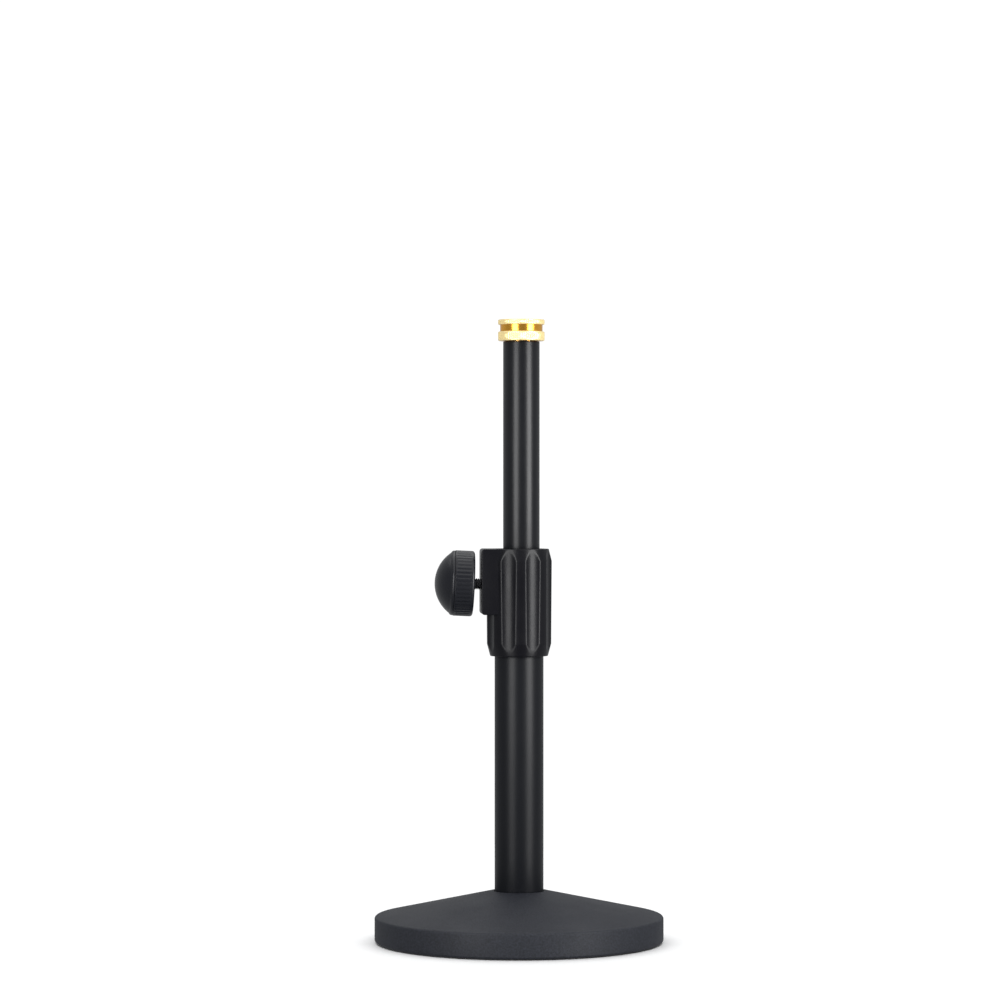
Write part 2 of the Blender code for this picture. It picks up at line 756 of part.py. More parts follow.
def make_upper_tube(parts, column_frame):
    tube = turned(
        "upper_tube",
        [
            (UPPER_TUBE_BORE, UPPER_TUBE_TOP, 0.0),
            (UPPER_TUBE_RADIUS, UPPER_TUBE_TOP, 0.0),
            (UPPER_TUBE_RADIUS, UPPER_TUBE_BOTTOM, 0.0),
            (UPPER_TUBE_BORE, UPPER_TUBE_BOTTOM, 0.0),
        ],
        TUBE_SIDES,
        parts,
        column_frame,
    )
    paint(tube, black_tube_coat("upper_tube_coat"))
    flange_top = UPPER_TUBE_BOTTOM - RUNNING_GAP
    spigot = UPPER_TUBE_BORE - RUNNING_GAP
    cap = turned(
        "upper_tube_end_cap",
        [
            (END_CAP_HOLE_RADIUS, flange_top + END_CAP_SPIGOT, 0.0),
            (spigot, flange_top + END_CAP_SPIGOT, 0.0),
            (spigot, flange_top, 0.0),
            (UPPER_TUBE_RADIUS, flange_top, 0.0),
            (UPPER_TUBE_RADIUS, flange_top - END_CAP_FLANGE, 0.0),
            (END_CAP_HOLE_RADIUS, flange_top - END_CAP_FLANGE, 0.0),
        ],
        TUBE_SIDES,
        parts,
        column_frame,
    )
    paint(cap, black_plastic("end_cap_plastic"))


def make_thread_end(parts, column_frame):
    stud_top = RING_TOP - STUD_BELOW_RING_TOP
    shoulder = UPPER_TUBE_TOP + RUNNING_GAP
    spigot = UPPER_TUBE_BORE - SEAT_GAP
    stud_bottom = UPPER_TUBE_TOP - STUD_SPIGOT_LENGTH
    stud = turned(
        "thread_stud",
        [
            (STUD_BORE_RADIUS, stud_top - STUD_BORE_CHAMFER, 0.0),
            (STUD_BORE_RADIUS + STUD_BORE_CHAMFER, stud_top, 0.0),
            (THREAD_RADIUS - THREAD_CHAMFER, stud_top, 0.0),
            (THREAD_RADIUS, stud_top - THREAD_CHAMFER, 0.0),
            (THREAD_RADIUS, shoulder, 0.0),
            (spigot, shoulder, 0.0),
            (spigot, stud_bottom, 0.0),
            (STUD_BORE_RADIUS, stud_bottom, 0.0),
        ],
        TUBE_SIDES,
        parts,
        column_frame,
    )
    paint(stud, polished_brass("stud_brass"))
    bore = THREAD_RADIUS + SEAT_GAP
    groove_bottom = RING_BOTTOM + RING_LOWER_BAND
    groove_top = groove_bottom + RING_GROOVE
    ring = turned(
        "lock_ring",
        [
            (bore, RING_TOP - RING_BORE_CHAMFER, 0.0),
            (bore + RING_BORE_CHAMFER, RING_TOP, 0.0),
            (RING_RADIUS, RING_TOP, RING_EDGE),
            (RING_RADIUS, groove_top, RING_EDGE),
            (RING_GROOVE_RADIUS, groove_top, 0.0),
            (RING_GROOVE_RADIUS, groove_bottom, 0.0),
            (RING_RADIUS, groove_bottom, RING_EDGE),
            (RING_RADIUS, RING_BOTTOM, RING_EDGE),
            (bore, RING_BOTTOM, 0.0),
        ],
        TUBE_SIDES,
        parts,
        column_frame,
    )
    paint(ring, polished_brass("ring_brass"))


def main():
    clear_scene()
    parts = new_collection("desktop_mic_stand")
    cutters = new_collection("cutters")
    collar_frame = add_frame("collar_axis", parts, rotation=(0.0, 0.0, math.radians(COLLAR_TURN_DEG)))
    clamp_frame = add_frame(
        "clamp_axis",
        parts,
        (-BOSS_REACH, 0.0, CLAMP_HEIGHT),
        (0.0, math.radians(CLAMP_TILT_DEG - 90.0), 0.0),
        collar_frame,
    )
    column_frame = add_frame("column_axis", parts, (COLUMN_OFFSET, 0.0, 0.0), parent=collar_frame)
    make_base(parts, cutters)
    make_base_fastening(parts, cutters)
    make_lower_tube(parts)
    collar = make_collar(parts, cutters, collar_frame, clamp_frame)
    make_guide_bush(parts, cutters, collar_frame, clamp_frame)
    make_collar_grub(parts, cutters, collar, collar_frame)
    make_screw_and_shoe(parts, cutters, collar_frame, clamp_frame)
    make_knob(parts, cutters, clamp_frame)
    make_knob_cap(parts, clamp_frame)
    make_upper_tube(parts, column_frame)
    make_thread_end(parts, column_frame)


main()
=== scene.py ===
# %% [markdown]
# # A desktop microphone stand, finished for its portrait
#
# The working model already has every piece at its true size and place: base, tubes, clutch collar, clamp
# and brass thread end. This lesson keeps that frame. It gives the visible pieces the fine shape that a
# lathe, a mould or a die leaves on the real ones, and the finish of paint, plastic, rubber and brass.

# %% Load the frame
import json
import math

import bmesh
import bpy
from mathutils import Matrix, Vector


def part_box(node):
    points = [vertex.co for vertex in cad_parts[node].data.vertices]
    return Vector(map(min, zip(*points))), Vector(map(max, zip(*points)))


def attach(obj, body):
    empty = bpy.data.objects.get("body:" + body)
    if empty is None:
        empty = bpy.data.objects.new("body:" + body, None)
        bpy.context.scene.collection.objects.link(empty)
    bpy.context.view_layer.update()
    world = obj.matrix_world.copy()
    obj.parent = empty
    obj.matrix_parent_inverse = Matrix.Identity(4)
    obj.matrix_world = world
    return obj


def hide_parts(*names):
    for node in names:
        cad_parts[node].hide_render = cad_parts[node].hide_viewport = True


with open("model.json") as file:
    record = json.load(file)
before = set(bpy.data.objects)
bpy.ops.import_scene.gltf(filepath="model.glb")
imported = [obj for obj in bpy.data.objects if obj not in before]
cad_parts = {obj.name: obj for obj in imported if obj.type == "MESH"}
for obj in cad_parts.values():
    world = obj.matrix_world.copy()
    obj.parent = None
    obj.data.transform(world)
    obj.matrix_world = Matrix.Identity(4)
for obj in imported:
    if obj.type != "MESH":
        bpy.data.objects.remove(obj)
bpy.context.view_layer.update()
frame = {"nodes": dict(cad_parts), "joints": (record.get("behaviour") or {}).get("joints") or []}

# %% [markdown]
# Everything is measured from the frame. The lower tube stands on the origin's axis. The upper tube is
# pushed a little to one side by the clamp, so it has an axis of its own. The clamp screw's axis comes
# from its joint.

# %% Axes and places
MM = 0.001


def middle(node):
    """Centre of a node's box."""
    low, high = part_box(node)
    return (low + high) / 2


def half_width(node):
    """Half the greatest sideways size of a node."""
    low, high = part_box(node)
    return max(high.x - low.x, high.y - low.y) / 2


column_x, column_y, _ = middle("upper_tube")
column_place = Matrix.Translation((column_x, column_y, 0.0))
collar_turn = math.atan2(column_y, column_x)
collar_place = Matrix.Rotation(collar_turn, 4, "Z")
knob_joint = next(j for j in frame["joints"] if j["name"] == "knob_turn")
clamp_out = Vector(knob_joint["axis"]).normalized()
clamp_point = Vector(knob_joint["pos_m"])
clamp_place = Matrix.Translation(clamp_point) @ clamp_out.to_track_quat("Z", "Y").to_matrix().to_4x4()
print("collar turned", round(math.degrees(collar_turn), 2), "degrees")

# %% [markdown]
# The camera stands almost two metres away with a long lens, level, at three quarters of the stand's
# height. So upright edges stay upright, the base shows its top, and the brass ring is seen slightly from
# below. A small shift of the lens frames the stand without tilting the camera.

# %% Camera
CAMERA_DISTANCE = 1.88
CAMERA_HEIGHT = 0.2373
LENS_MM = 130.3
SENSOR_MM = 36.0
LENS_SHIFT = (-0.01905, -0.015)
camera_data = bpy.data.cameras.new("portrait_camera")
camera_data.lens = LENS_MM
camera_data.sensor_width = SENSOR_MM
camera_data.shift_x, camera_data.shift_y = LENS_SHIFT
camera_data.clip_start = 0.05
camera_data.clip_end = 100.0
camera = bpy.data.objects.new("portrait_camera", camera_data)
bpy.context.scene.collection.objects.link(camera)
camera.location = (0.0, -CAMERA_DISTANCE, CAMERA_HEIGHT)
camera.rotation_euler = (math.radians(90.0), 0.0, 0.0)
bpy.context.scene.camera = camera
bpy.context.scene.view_settings.view_transform = "Standard"
print("camera", CAMERA_DISTANCE, "m away with a", LENS_MM, "mm lens")

# %% [markdown]
# A material here is a Principled shader and a few nodes that vary it. One helper adds a node: it takes
# the settings, the values of its inputs and the links into it, so each recipe below reads from top to
# bottom.


# %% Node and colour helpers
def add_node(tree, kind, settings=None, inputs=None, links=None):
    """Add one node: settings are its properties, inputs plain values, links the sockets that feed it."""
    node = tree.nodes.new(kind)
    for name, value in (settings or {}).items():
        setattr(node, name, value)
    for key, value in (inputs or {}).items():
        node.inputs[key].default_value = value
    for key, socket in (links or {}).items():
        tree.links.new(socket, node.inputs[key])
    return node


def linear(hex_colour):
    """A linear colour from an sRGB hex value such as #404146."""
    channels = [int(hex_colour[i : i + 2], 16) / 255 for i in (1, 3, 5)]
    curved = [c / 12.92 if c <= 0.04045 else ((c + 0.055) / 1.055) ** 2.4 for c in channels]
    return (*curved, 1.0)


def new_material(name, colour, roughness, metallic=0.0, ior=None, specular=0.5):
    """A material with one Principled shader, and its tree, shader and object coordinates."""
    material = bpy.data.materials.new(name)
    material.use_nodes = True
    tree = material.node_tree
    shader = tree.nodes["Principled BSDF"]
    shader.inputs["Base Color"].default_value = linear(colour)
    shader.inputs["Roughness"].default_value = roughness
    shader.inputs["Metallic"].default_value = metallic
    shader.inputs["Specular IOR Level"].default_value = specular
    if ior is not None:
        shader.inputs["IOR"].default_value = ior
    place = add_node(tree, "ShaderNodeTexCoord").outputs["Object"]
    return material, tree, shader, place


print("helpers ready")

# %% [markdown]
# The stand is shown on a plain white table in a white room. The room is bright behind the stand and dim
# in front of it, which keeps black paint black and gives each tube its thin pale edges. The camera sees
# the room as plain white. The table is left out of reflections and stops no light, because low lights
# shine from below its level later on.

# %% Floor and room
FLOOR_HALF = 0.5
FLOOR_ROUGHNESS = 0.6
floor_mesh = bpy.data.meshes.new("table_top")
floor_shape = bmesh.new()
bmesh.ops.create_grid(floor_shape, x_segments=1, y_segments=1, size=FLOOR_HALF)
floor_shape.to_mesh(floor_mesh)
floor_shape.free()
floor = bpy.data.objects.new("table_top", floor_mesh)
bpy.context.scene.collection.objects.link(floor)
floor_mesh.materials.append(new_material("white_laminate", "#F4F4F4", FLOOR_ROUGHNESS)[0])
floor.visible_glossy = False
floor.visible_shadow = False

ROOM_FRONT = 0.22
ROOM_BACK = 0.50
DIM_BEFORE = -0.6
BRIGHT_AFTER = 0.5
ROOM_TINT = (0.97, 0.985, 1.0, 1.0)
SEEN_WHITE = 1.05
world = bpy.data.worlds.new("white_room")
world.use_nodes = True
bpy.context.scene.world = world
room = world.node_tree
room.nodes.clear()
direction = add_node(room, "ShaderNodeTexCoord").outputs["Generated"]
parts_of_direction = add_node(room, "ShaderNodeSeparateXYZ", links={"Vector": direction})
front_to_back = add_node(
    room,
    "ShaderNodeMapRange",
    {"interpolation_type": "SMOOTHSTEP"},
    {"From Min": DIM_BEFORE, "From Max": BRIGHT_AFTER, "To Min": ROOM_FRONT, "To Max": ROOM_BACK},
    {"Value": parts_of_direction.outputs["Y"]},
)
lit_room = add_node(
    room,
    "ShaderNodeBackground",
    inputs={"Color": ROOM_TINT},
    links={"Strength": front_to_back.outputs["Result"]},
)
seen_room = add_node(
    room, "ShaderNodeBackground", inputs={"Color": (1.0, 1.0, 1.0, 1.0), "Strength": SEEN_WHITE}
)
camera_ray = add_node(room, "ShaderNodeLightPath").outputs["Is Camera Ray"]
mixed_room = add_node(
    room,
    "ShaderNodeMixShader",
    links={0: camera_ray, 1: lit_room.outputs["Background"], 2: seen_room.outputs["Background"]},
)
add_node(room, "ShaderNodeOutputWorld", links={"Surface": mixed_room.outputs["Shader"]})
print("floor", 2 * FLOOR_HALF, "m wide")

# %% [markdown]
# Four strip lights stand in front, a tall one and a low one on each side. A vertical tube mirrors the
# tall strips as two long streaks, and the low ones carry the streaks down to its foot, so they reach
# below the table's level. A strip at some angle shows where the tube's surface faces half that angle.
#
# The strips leave the table alone, by light linking: a strip's receiver collection holds only the table,
# marked as excluded, and everything else stays lit. Only a very soft sun overhead, a hundred degrees
# across, whitens the table, so the grey shadow where the base meets it stays small and can be seen.

# %% Lights
LIGHT_DISTANCE = 1.3
STRIP_WIDTH = 0.62
SUN_STRENGTH = 2.9
SUN_WIDTH = 100.0
strip_receivers = bpy.data.collections.new("strip_receivers")
strip_receivers.objects.link(floor)
strip_receivers.collection_objects[0].light_linking.link_state = "EXCLUDE"


def strip_light(name, azimuth, height, centre_height, power):
    """An upright area light facing the stand, at an azimuth in degrees from the camera's side."""
    data = bpy.data.lights.new(name, "AREA")
    data.shape = "RECTANGLE"
    data.size = STRIP_WIDTH
    data.size_y = height
    data.energy = power
    light = bpy.data.objects.new(name, data)
    bpy.context.scene.collection.objects.link(light)
    angle = math.radians(azimuth)
    place = Vector((math.sin(angle), -math.cos(angle), 0.0)) * LIGHT_DISTANCE
    light.location = place + Vector((0.0, 0.0, centre_height))
    light.rotation_euler = (-place).to_track_quat("-Z", "Y").to_euler()
    light.visible_camera = False
    light.light_linking.receiver_collection = strip_receivers
    print(name, "at", azimuth, "degrees,", power, "W")


# Name, azimuth, height, height of the middle, watts.
strips = (
    ("left_strip", -34.0, 0.95, 0.525, 16.0),
    ("right_strip", 51.0, 0.95, 0.525, 23.5),
    ("left_low_strip", -34.0, 0.70, -0.30, 5.2),
    ("right_low_strip", 51.0, 0.70, -0.30, 7.6),
)
for strip in strips:
    strip_light(*strip)
overhead_data = bpy.data.lights.new("overhead", "SUN")
overhead_data.energy = SUN_STRENGTH
overhead_data.angle = math.radians(SUN_WIDTH)
overhead = bpy.data.objects.new("overhead", overhead_data)
bpy.context.scene.collection.objects.link(overhead)

# %% [markdown]
# Most of the stand was made on a lathe or in a round mould, so most pieces start the same way: half of
# the outline, drawn from corners that may have a small radius, is spun round an axis with the spin
# operator. Where the surface needs a pattern that runs round or along it, such as flutes, ribs, knurling
# or a thread, the outline is drawn with many points, and one rule moves every point of the spun skin in
# or out. Edges that turn by more than a piece's own angle are shaded sharp, and the others smooth.

# %% Shape helpers
ARC_STEPS = 6
WELD = 0.0005 * MM
ON_WALL = 0.01 * MM


def filleted(corners, steps=ARC_STEPS):
    """Outline points through corners (radius, height, fillet), each fillet drawn as an arc."""
    points = []
    for index, (x, z, fillet) in enumerate(corners):
        corner = Vector((x, z))
        if fillet == 0.0:
            points.append(corner)
            continue
        before = (Vector(corners[index - 1][:2]) - corner).normalized()
        after = (Vector(corners[(index + 1) % len(corners)][:2]) - corner).normalized()
        half = before.angle(after) / 2
        centre = corner + (before + after).normalized() * fillet / math.sin(half)
        start = (corner + before * fillet / math.tan(half) - centre).normalized()
        end = (corner + after * fillet / math.tan(half) - centre).normalized()
        points += [centre + start.slerp(end, step / steps) * fillet for step in range(steps + 1)]
    return points


def divided(points, longest, closed=True):
    """The same outline with its long steps cut into short ones."""
    ends = points[1:] + points[:1] if closed else points[1:]
    fine = []
    for first, second in zip(points, ends):
        fine.append(first)
        pieces = math.ceil((second - first).length / longest)
        fine += [first.lerp(second, step / pieces) for step in range(1, pieces)]
    return fine if closed else fine + points[-1:]


def spun(points, steps, closed=True):
    """Spin an outline round the Z axis into a closed skin that faces outwards."""
    shape = bmesh.new()
    verts = [shape.verts.new((p.x, 0.0, p.y)) for p in points]
    edges = [shape.edges.new(pair) for pair in zip(verts, verts[1:])]
    if closed:
        edges.append(shape.edges.new((verts[-1], verts[0])))
    bmesh.ops.spin(
        shape,
        geom=verts + edges,
        cent=(0.0, 0.0, 0.0),
        axis=(0.0, 0.0, 1.0),
        dvec=(0.0, 0.0, 0.0),
        angle=math.tau,
        steps=steps,
        use_merge=True,
        use_duplicate=False,
    )
    bmesh.ops.remove_doubles(shape, verts=shape.verts, dist=WELD)
    bmesh.ops.recalc_face_normals(shape, faces=shape.faces)
    return shape


def move_in(shape, depth_at):
    """Move every point towards the Z axis by depth_at(angle, radius, height)."""
    for vert in shape.verts:
        radius = math.hypot(vert.co.x, vert.co.y)
        if radius > 0.0:
            depth = depth_at(math.atan2(vert.co.y, vert.co.x), radius, vert.co.z)
            vert.co.x *= (radius - depth) / radius
            vert.co.y *= (radius - depth) / radius


def corner_radius(flats):
    """Distance from a hexagon's middle to its corners, from its width across flats."""
    return flats / 2 / math.cos(math.pi / 6)


def bar(sides, radius, bottom, top):
    """A straight bar along Z with any number of sides."""
    shape = bmesh.new()
    bmesh.ops.create_cone(
        shape, cap_ends=True, segments=sides, radius1=radius, radius2=radius, depth=top - bottom
    )
    bmesh.ops.translate(shape, verts=shape.verts, vec=(0.0, 0.0, (bottom + top) / 2))
    return shape


def finished(name, shape, place=Matrix.Identity(4), smooth_below=30.0):
    """Turn a bmesh into an object whose place is in its mesh."""
    shape.transform(place)
    mesh = bpy.data.meshes.new(name)
    shape.to_mesh(mesh)
    shape.free()
    mesh.shade_smooth()
    mesh.set_sharp_from_angle(angle=math.radians(smooth_below))
    piece = bpy.data.objects.new(name, mesh)
    bpy.context.scene.collection.objects.link(piece)
    return piece


def join_or_cut(piece, tool, operation, smooth_below=30.0):
    """Join the tool to the piece, cut it away or keep what both share, and keep that as plain mesh."""
    step = piece.modifiers.new("boolean", "BOOLEAN")
    step.operation = operation
    step.object = tool
    step.solver = "MANIFOLD"
    graph = bpy.context.evaluated_depsgraph_get()
    result = bpy.data.meshes.new_from_object(piece.evaluated_get(graph))
    piece.modifiers.clear()
    old = piece.data
    piece.data = result
    bpy.data.meshes.remove(old)
    bpy.data.objects.remove(tool)
    result.shade_smooth()
    result.set_sharp_from_angle(angle=math.radians(smooth_below))


def put(piece, node, body, material):
    """Give a piece its finish and its body, and let it stand for its CAD node."""
    piece.data.materials.clear()
    piece.data.materials.append(material)
    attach(piece, body)
    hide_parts(node)
    print(piece.name, len(piece.data.polygons), "faces, material", material.name)


def repaint(node, material):
    """Give a CAD node that keeps its shape a better material."""
    materials = frame["nodes"][node].data.materials
    if materials:
        materials[0] = material
    else:
        materials.append(material)


print("shape helpers ready")

# %% [markdown]
# **Powder coat.** The base is cast iron sprayed with dry epoxy-polyester powder and baked. A texture
# powder pulls itself into fine grains as it melts, so the skin is matt, dark grey and slightly rough to
# the touch: light breaks up in it and no sharp reflection is left. The real grains are about 0.4 mm. They
# are drawn at 0.9 mm, because finer ones would not show. The gloss drifts a little over patches of 40 mm,
# as the spray did.

# %% Material: texture powder coat
POWDER_GRAIN = 0.9 * MM
SPRAY_PATCH = 40.0 * MM
RESIN_IOR = 1.5
# Nearly all values of a noise pattern lie between these two.
PATTERN_LOW = 0.3
PATTERN_HIGH = 0.7
powder_coat, tree, shader, place = new_material(
    "texture_powder_coat", "#15171D", 0.6, ior=RESIN_IOR, specular=0.22
)
grains = add_node(
    tree,
    "ShaderNodeTexNoise",
    inputs={"Scale": 1 / POWDER_GRAIN, "Detail": 3.0, "Roughness": 0.6},
    links={"Vector": place},
)
clouds = add_node(
    tree, "ShaderNodeTexNoise", inputs={"Scale": 1 / SPRAY_PATCH, "Detail": 2.0}, links={"Vector": place}
)
grain_colour = add_node(tree, "ShaderNodeValToRGB", links={"Fac": grains.outputs["Fac"]})
grain_colour.color_ramp.elements[0].position = 0.35
grain_colour.color_ramp.elements[0].color = linear("#0F1116")
grain_colour.color_ramp.elements[1].position = 0.68
grain_colour.color_ramp.elements[1].color = linear("#1B1D24")
tree.links.new(grain_colour.outputs["Color"], shader.inputs["Base Color"])
grain_gloss = add_node(
    tree,
    "ShaderNodeMapRange",
    inputs={"From Min": PATTERN_LOW, "From Max": PATTERN_HIGH, "To Min": 0.56, "To Max": 0.70},
    links={"Value": clouds.outputs["Fac"]},
)
tree.links.new(grain_gloss.outputs["Result"], shader.inputs["Roughness"])
grain_bump = add_node(
    tree,
    "ShaderNodeBump",
    inputs={"Strength": 0.55, "Distance": 0.25 * MM},
    links={"Height": grains.outputs["Fac"]},
)
tree.links.new(grain_bump.outputs["Normal"], shader.inputs["Normal"])
print("material", powder_coat.name)

# %% [markdown]
# **Stoved enamel.** The tubes are drawn steel, dipped or sprayed with black enamel and baked. The paint
# is satin: smooth enough for a soft streak, with a faint orange peel of about 2 mm, and slightly rubbed
# in patches where hands hold it. The upper tube slides through the clutch, which polishes its paint, so
# its coat is a glossier copy of the lower tube's.

# %% Material: black stoved enamel
PEEL_SIZE = 2.0 * MM
RUB_PATCH = 50.0 / 3 * MM
enamel, tree, shader, place = new_material(
    "black_stoved_enamel", "#0E0F12", 0.34, ior=RESIN_IOR, specular=0.14
)
peel = add_node(
    tree, "ShaderNodeTexNoise", inputs={"Scale": 1 / PEEL_SIZE, "Detail": 1.0}, links={"Vector": place}
)
rubbed = add_node(
    tree,
    "ShaderNodeTexNoise",
    inputs={"Scale": 1 / RUB_PATCH, "Detail": 4.0, "Roughness": 0.6},
    links={"Vector": place},
)
rub_gloss = add_node(
    tree,
    "ShaderNodeMapRange",
    inputs={"From Min": PATTERN_LOW, "From Max": PATTERN_HIGH, "To Min": 0.33, "To Max": 0.37},
    links={"Value": rubbed.outputs["Fac"]},
)
tree.links.new(rub_gloss.outputs["Result"], shader.inputs["Roughness"])
peel_bump = add_node(
    tree,
    "ShaderNodeBump",
    inputs={"Strength": 0.25, "Distance": 0.03 * MM},
    links={"Height": peel.outputs["Fac"]},
)
tree.links.new(peel_bump.outputs["Normal"], shader.inputs["Normal"])
polished_enamel = enamel.copy()
polished_enamel.name = "black_stoved_enamel_polished"
nodes = polished_enamel.node_tree.nodes
nodes["Principled BSDF"].inputs["Specular IOR Level"].default_value = 0.25
nodes["Map Range"].inputs["To Min"].default_value = 0.28
nodes["Map Range"].inputs["To Max"].default_value = 0.32
print("materials", enamel.name, polished_enamel.name)

# %% [markdown]
# **Moulded plastic.** The collar and the knob are ABS from a steel mould that was spark eroded, which
# prints a fine even grain of about 0.1 mm. It is drawn at 0.4 mm, so that it shows, and handling varies
# the gloss over patches of 11 mm. The collar's plastic is the blacker one, and the knob's shows more
# light. The guide bush and the end cap inside are acetal, which slides well and has a duller skin.

# %% Materials: ABS and acetal
MOULD_GRAIN = 0.4 * MM
HANDLING_PATCH = 100.0 / 9 * MM
PLASTIC_IOR = 1.53


def moulded_plastic(name, colour, smoothest, roughest, specular):
    """A plastic with the mould's grain, its roughness drifting between two values."""
    material, tree, shader, place = new_material(
        name, colour, smoothest, ior=PLASTIC_IOR, specular=specular
    )
    texture = add_node(
        tree,
        "ShaderNodeTexNoise",
        inputs={"Scale": 1 / MOULD_GRAIN, "Detail": 2.0},
        links={"Vector": place},
    )
    handling = add_node(
        tree,
        "ShaderNodeTexNoise",
        inputs={"Scale": 1 / HANDLING_PATCH, "Detail": 3.0},
        links={"Vector": place},
    )
    gloss = add_node(
        tree,
        "ShaderNodeMapRange",
        inputs={
            "From Min": PATTERN_LOW,
            "From Max": PATTERN_HIGH,
            "To Min": smoothest,
            "To Max": roughest,
        },
        links={"Value": handling.outputs["Fac"]},
    )
    tree.links.new(gloss.outputs["Result"], shader.inputs["Roughness"])
    bump = add_node(
        tree,
        "ShaderNodeBump",
        inputs={"Strength": 0.3, "Distance": 0.04 * MM},
        links={"Height": texture.outputs["Fac"]},
    )
    tree.links.new(bump.outputs["Normal"], shader.inputs["Normal"])
    print("material", name)
    return material


collar_plastic = moulded_plastic("moulded_abs_deep_black", "#07070B", 0.29, 0.35, 0.17)
knob_plastic = moulded_plastic("moulded_abs_soft_black", "#111216", 0.26, 0.32, 0.22)
inner_plastic = moulded_plastic("moulded_acetal", "#0C0D0E", 0.40, 0.50, 0.35)

# %% [markdown]
# **Brass.** The stud is turned from free-cutting brass bar and polished. A cutting tool leaves circles
# round the axis, so a very shallow bump changes quickly along the height and slowly across it. Tarnish
# makes patches of about 5 mm slightly duller. A metal's only colour is the tint of its reflections.

# %% Material: turned brass
TOOL_MARK = 0.25 * MM
MARK_LENGTH = 50.0 * MM
TARNISH_PATCH = 50.0 / 11 * MM
brass, tree, shader, place = new_material("turned_brass", "#EBC57A", 0.2, metallic=1.0)
stretched = add_node(
    tree,
    "ShaderNodeMapping",
    {"vector_type": "POINT"},
    {"Scale": (1 / MARK_LENGTH, 1 / MARK_LENGTH, 1 / TOOL_MARK)},
    {"Vector": place},
)
marks = add_node(
    tree,
    "ShaderNodeTexNoise",
    inputs={"Scale": 1.0, "Detail": 2.0},
    links={"Vector": stretched.outputs["Vector"]},
)
tarnish = add_node(
    tree, "ShaderNodeTexNoise", inputs={"Scale": 1 / TARNISH_PATCH, "Detail": 3.0}, links={"Vector": place}
)
brass_gloss = add_node(
    tree,
    "ShaderNodeMapRange",
    inputs={"From Min": PATTERN_LOW, "From Max": PATTERN_HIGH, "To Min": 0.14, "To Max": 0.26},
    links={"Value": tarnish.outputs["Fac"]},
)
tree.links.new(brass_gloss.outputs["Result"], shader.inputs["Roughness"])
mark_bump = add_node(
    tree,
    "ShaderNodeBump",
    inputs={"Strength": 0.15, "Distance": 0.02 * MM},
    links={"Height": marks.outputs["Fac"]},
)
tree.links.new(mark_bump.outputs["Normal"], shader.inputs["Normal"])
print("material", brass.name)

# %% [markdown]
# The ring is the same brass with knurled bands and a polished groove between them. The groove mirrors
# the room in deep yellow. The bands get a pale cream colour with little metal, so that the lamps light
# them bright all over: painted sheen that stands in for the bright reflections of their knurl. So the
# distance from the ring's axis drives two things: the colour, and how much of the surface is plain metal.

# %% Material: brass with painted band sheen
BAND_START = 11.2 * MM
BAND_FULL = 11.7 * MM
GROOVE_METAL = 0.93
# The bands carry little metal, so that their pale colour lights up as a painted sheen.
BAND_METAL = 0.35
ring_brass = brass.copy()
ring_brass.name = "brass_with_painted_band_sheen"
tree = ring_brass.node_tree
ring_shader = tree.nodes["Principled BSDF"]
place = tree.nodes["Texture Coordinate"].outputs["Object"]
centred = add_node(
    tree,
    "ShaderNodeVectorMath",
    {"operation": "SUBTRACT"},
    {1: (column_x, column_y, 0.0)},
    {0: place},
)
flat = add_node(
    tree,
    "ShaderNodeVectorMath",
    {"operation": "MULTIPLY"},
    {1: (1.0, 1.0, 0.0)},
    {0: centred.outputs["Vector"]},
)
from_axis = add_node(
    tree, "ShaderNodeVectorMath", {"operation": "LENGTH"}, links={0: flat.outputs["Vector"]}
)
on_band = add_node(
    tree,
    "ShaderNodeMapRange",
    inputs={"From Min": BAND_START, "From Max": BAND_FULL},
    links={"Value": from_axis.outputs["Value"]},
)
band_sheen_and_groove_colour = add_node(tree, "ShaderNodeValToRGB", links={"Fac": on_band.outputs["Result"]})
# The first stop is the groove's deep yellow brass, the second the bands' pale cream, a painted sheen.
band_sheen_and_groove_colour.color_ramp.elements[0].color = linear("#EBAC42")
band_sheen_and_groove_colour.color_ramp.elements[1].color = linear("#DAC58C")
metal_share = add_node(
    tree,
    "ShaderNodeMapRange",
    inputs={
        "From Min": BAND_START,
        "From Max": BAND_FULL,
        "To Min": GROOVE_METAL,
        "To Max": BAND_METAL,
    },
    links={"Value": from_axis.outputs["Value"]},
)
tree.links.new(metal_share.outputs["Result"], ring_shader.inputs["Metallic"])
tree.links.new(band_sheen_and_groove_colour.outputs["Color"], ring_shader.inputs["Base Color"])
print("material", ring_brass.name)

# %% [markdown]
# **Fasteners, rubber and nylon.** The bolt, washers, nut and plug are zinc plated: a pale metal with a
# slightly uneven, faintly blue film. The clamp and grub screws are blackened steel. Their film is an
# oxide, a mineral, so most of the light that it returns is scattered and only a fifth behaves as on bare
# metal. The feet are matt rubber, and the shoe that touches the tube is natural nylon, which lets a
# little light into itself.


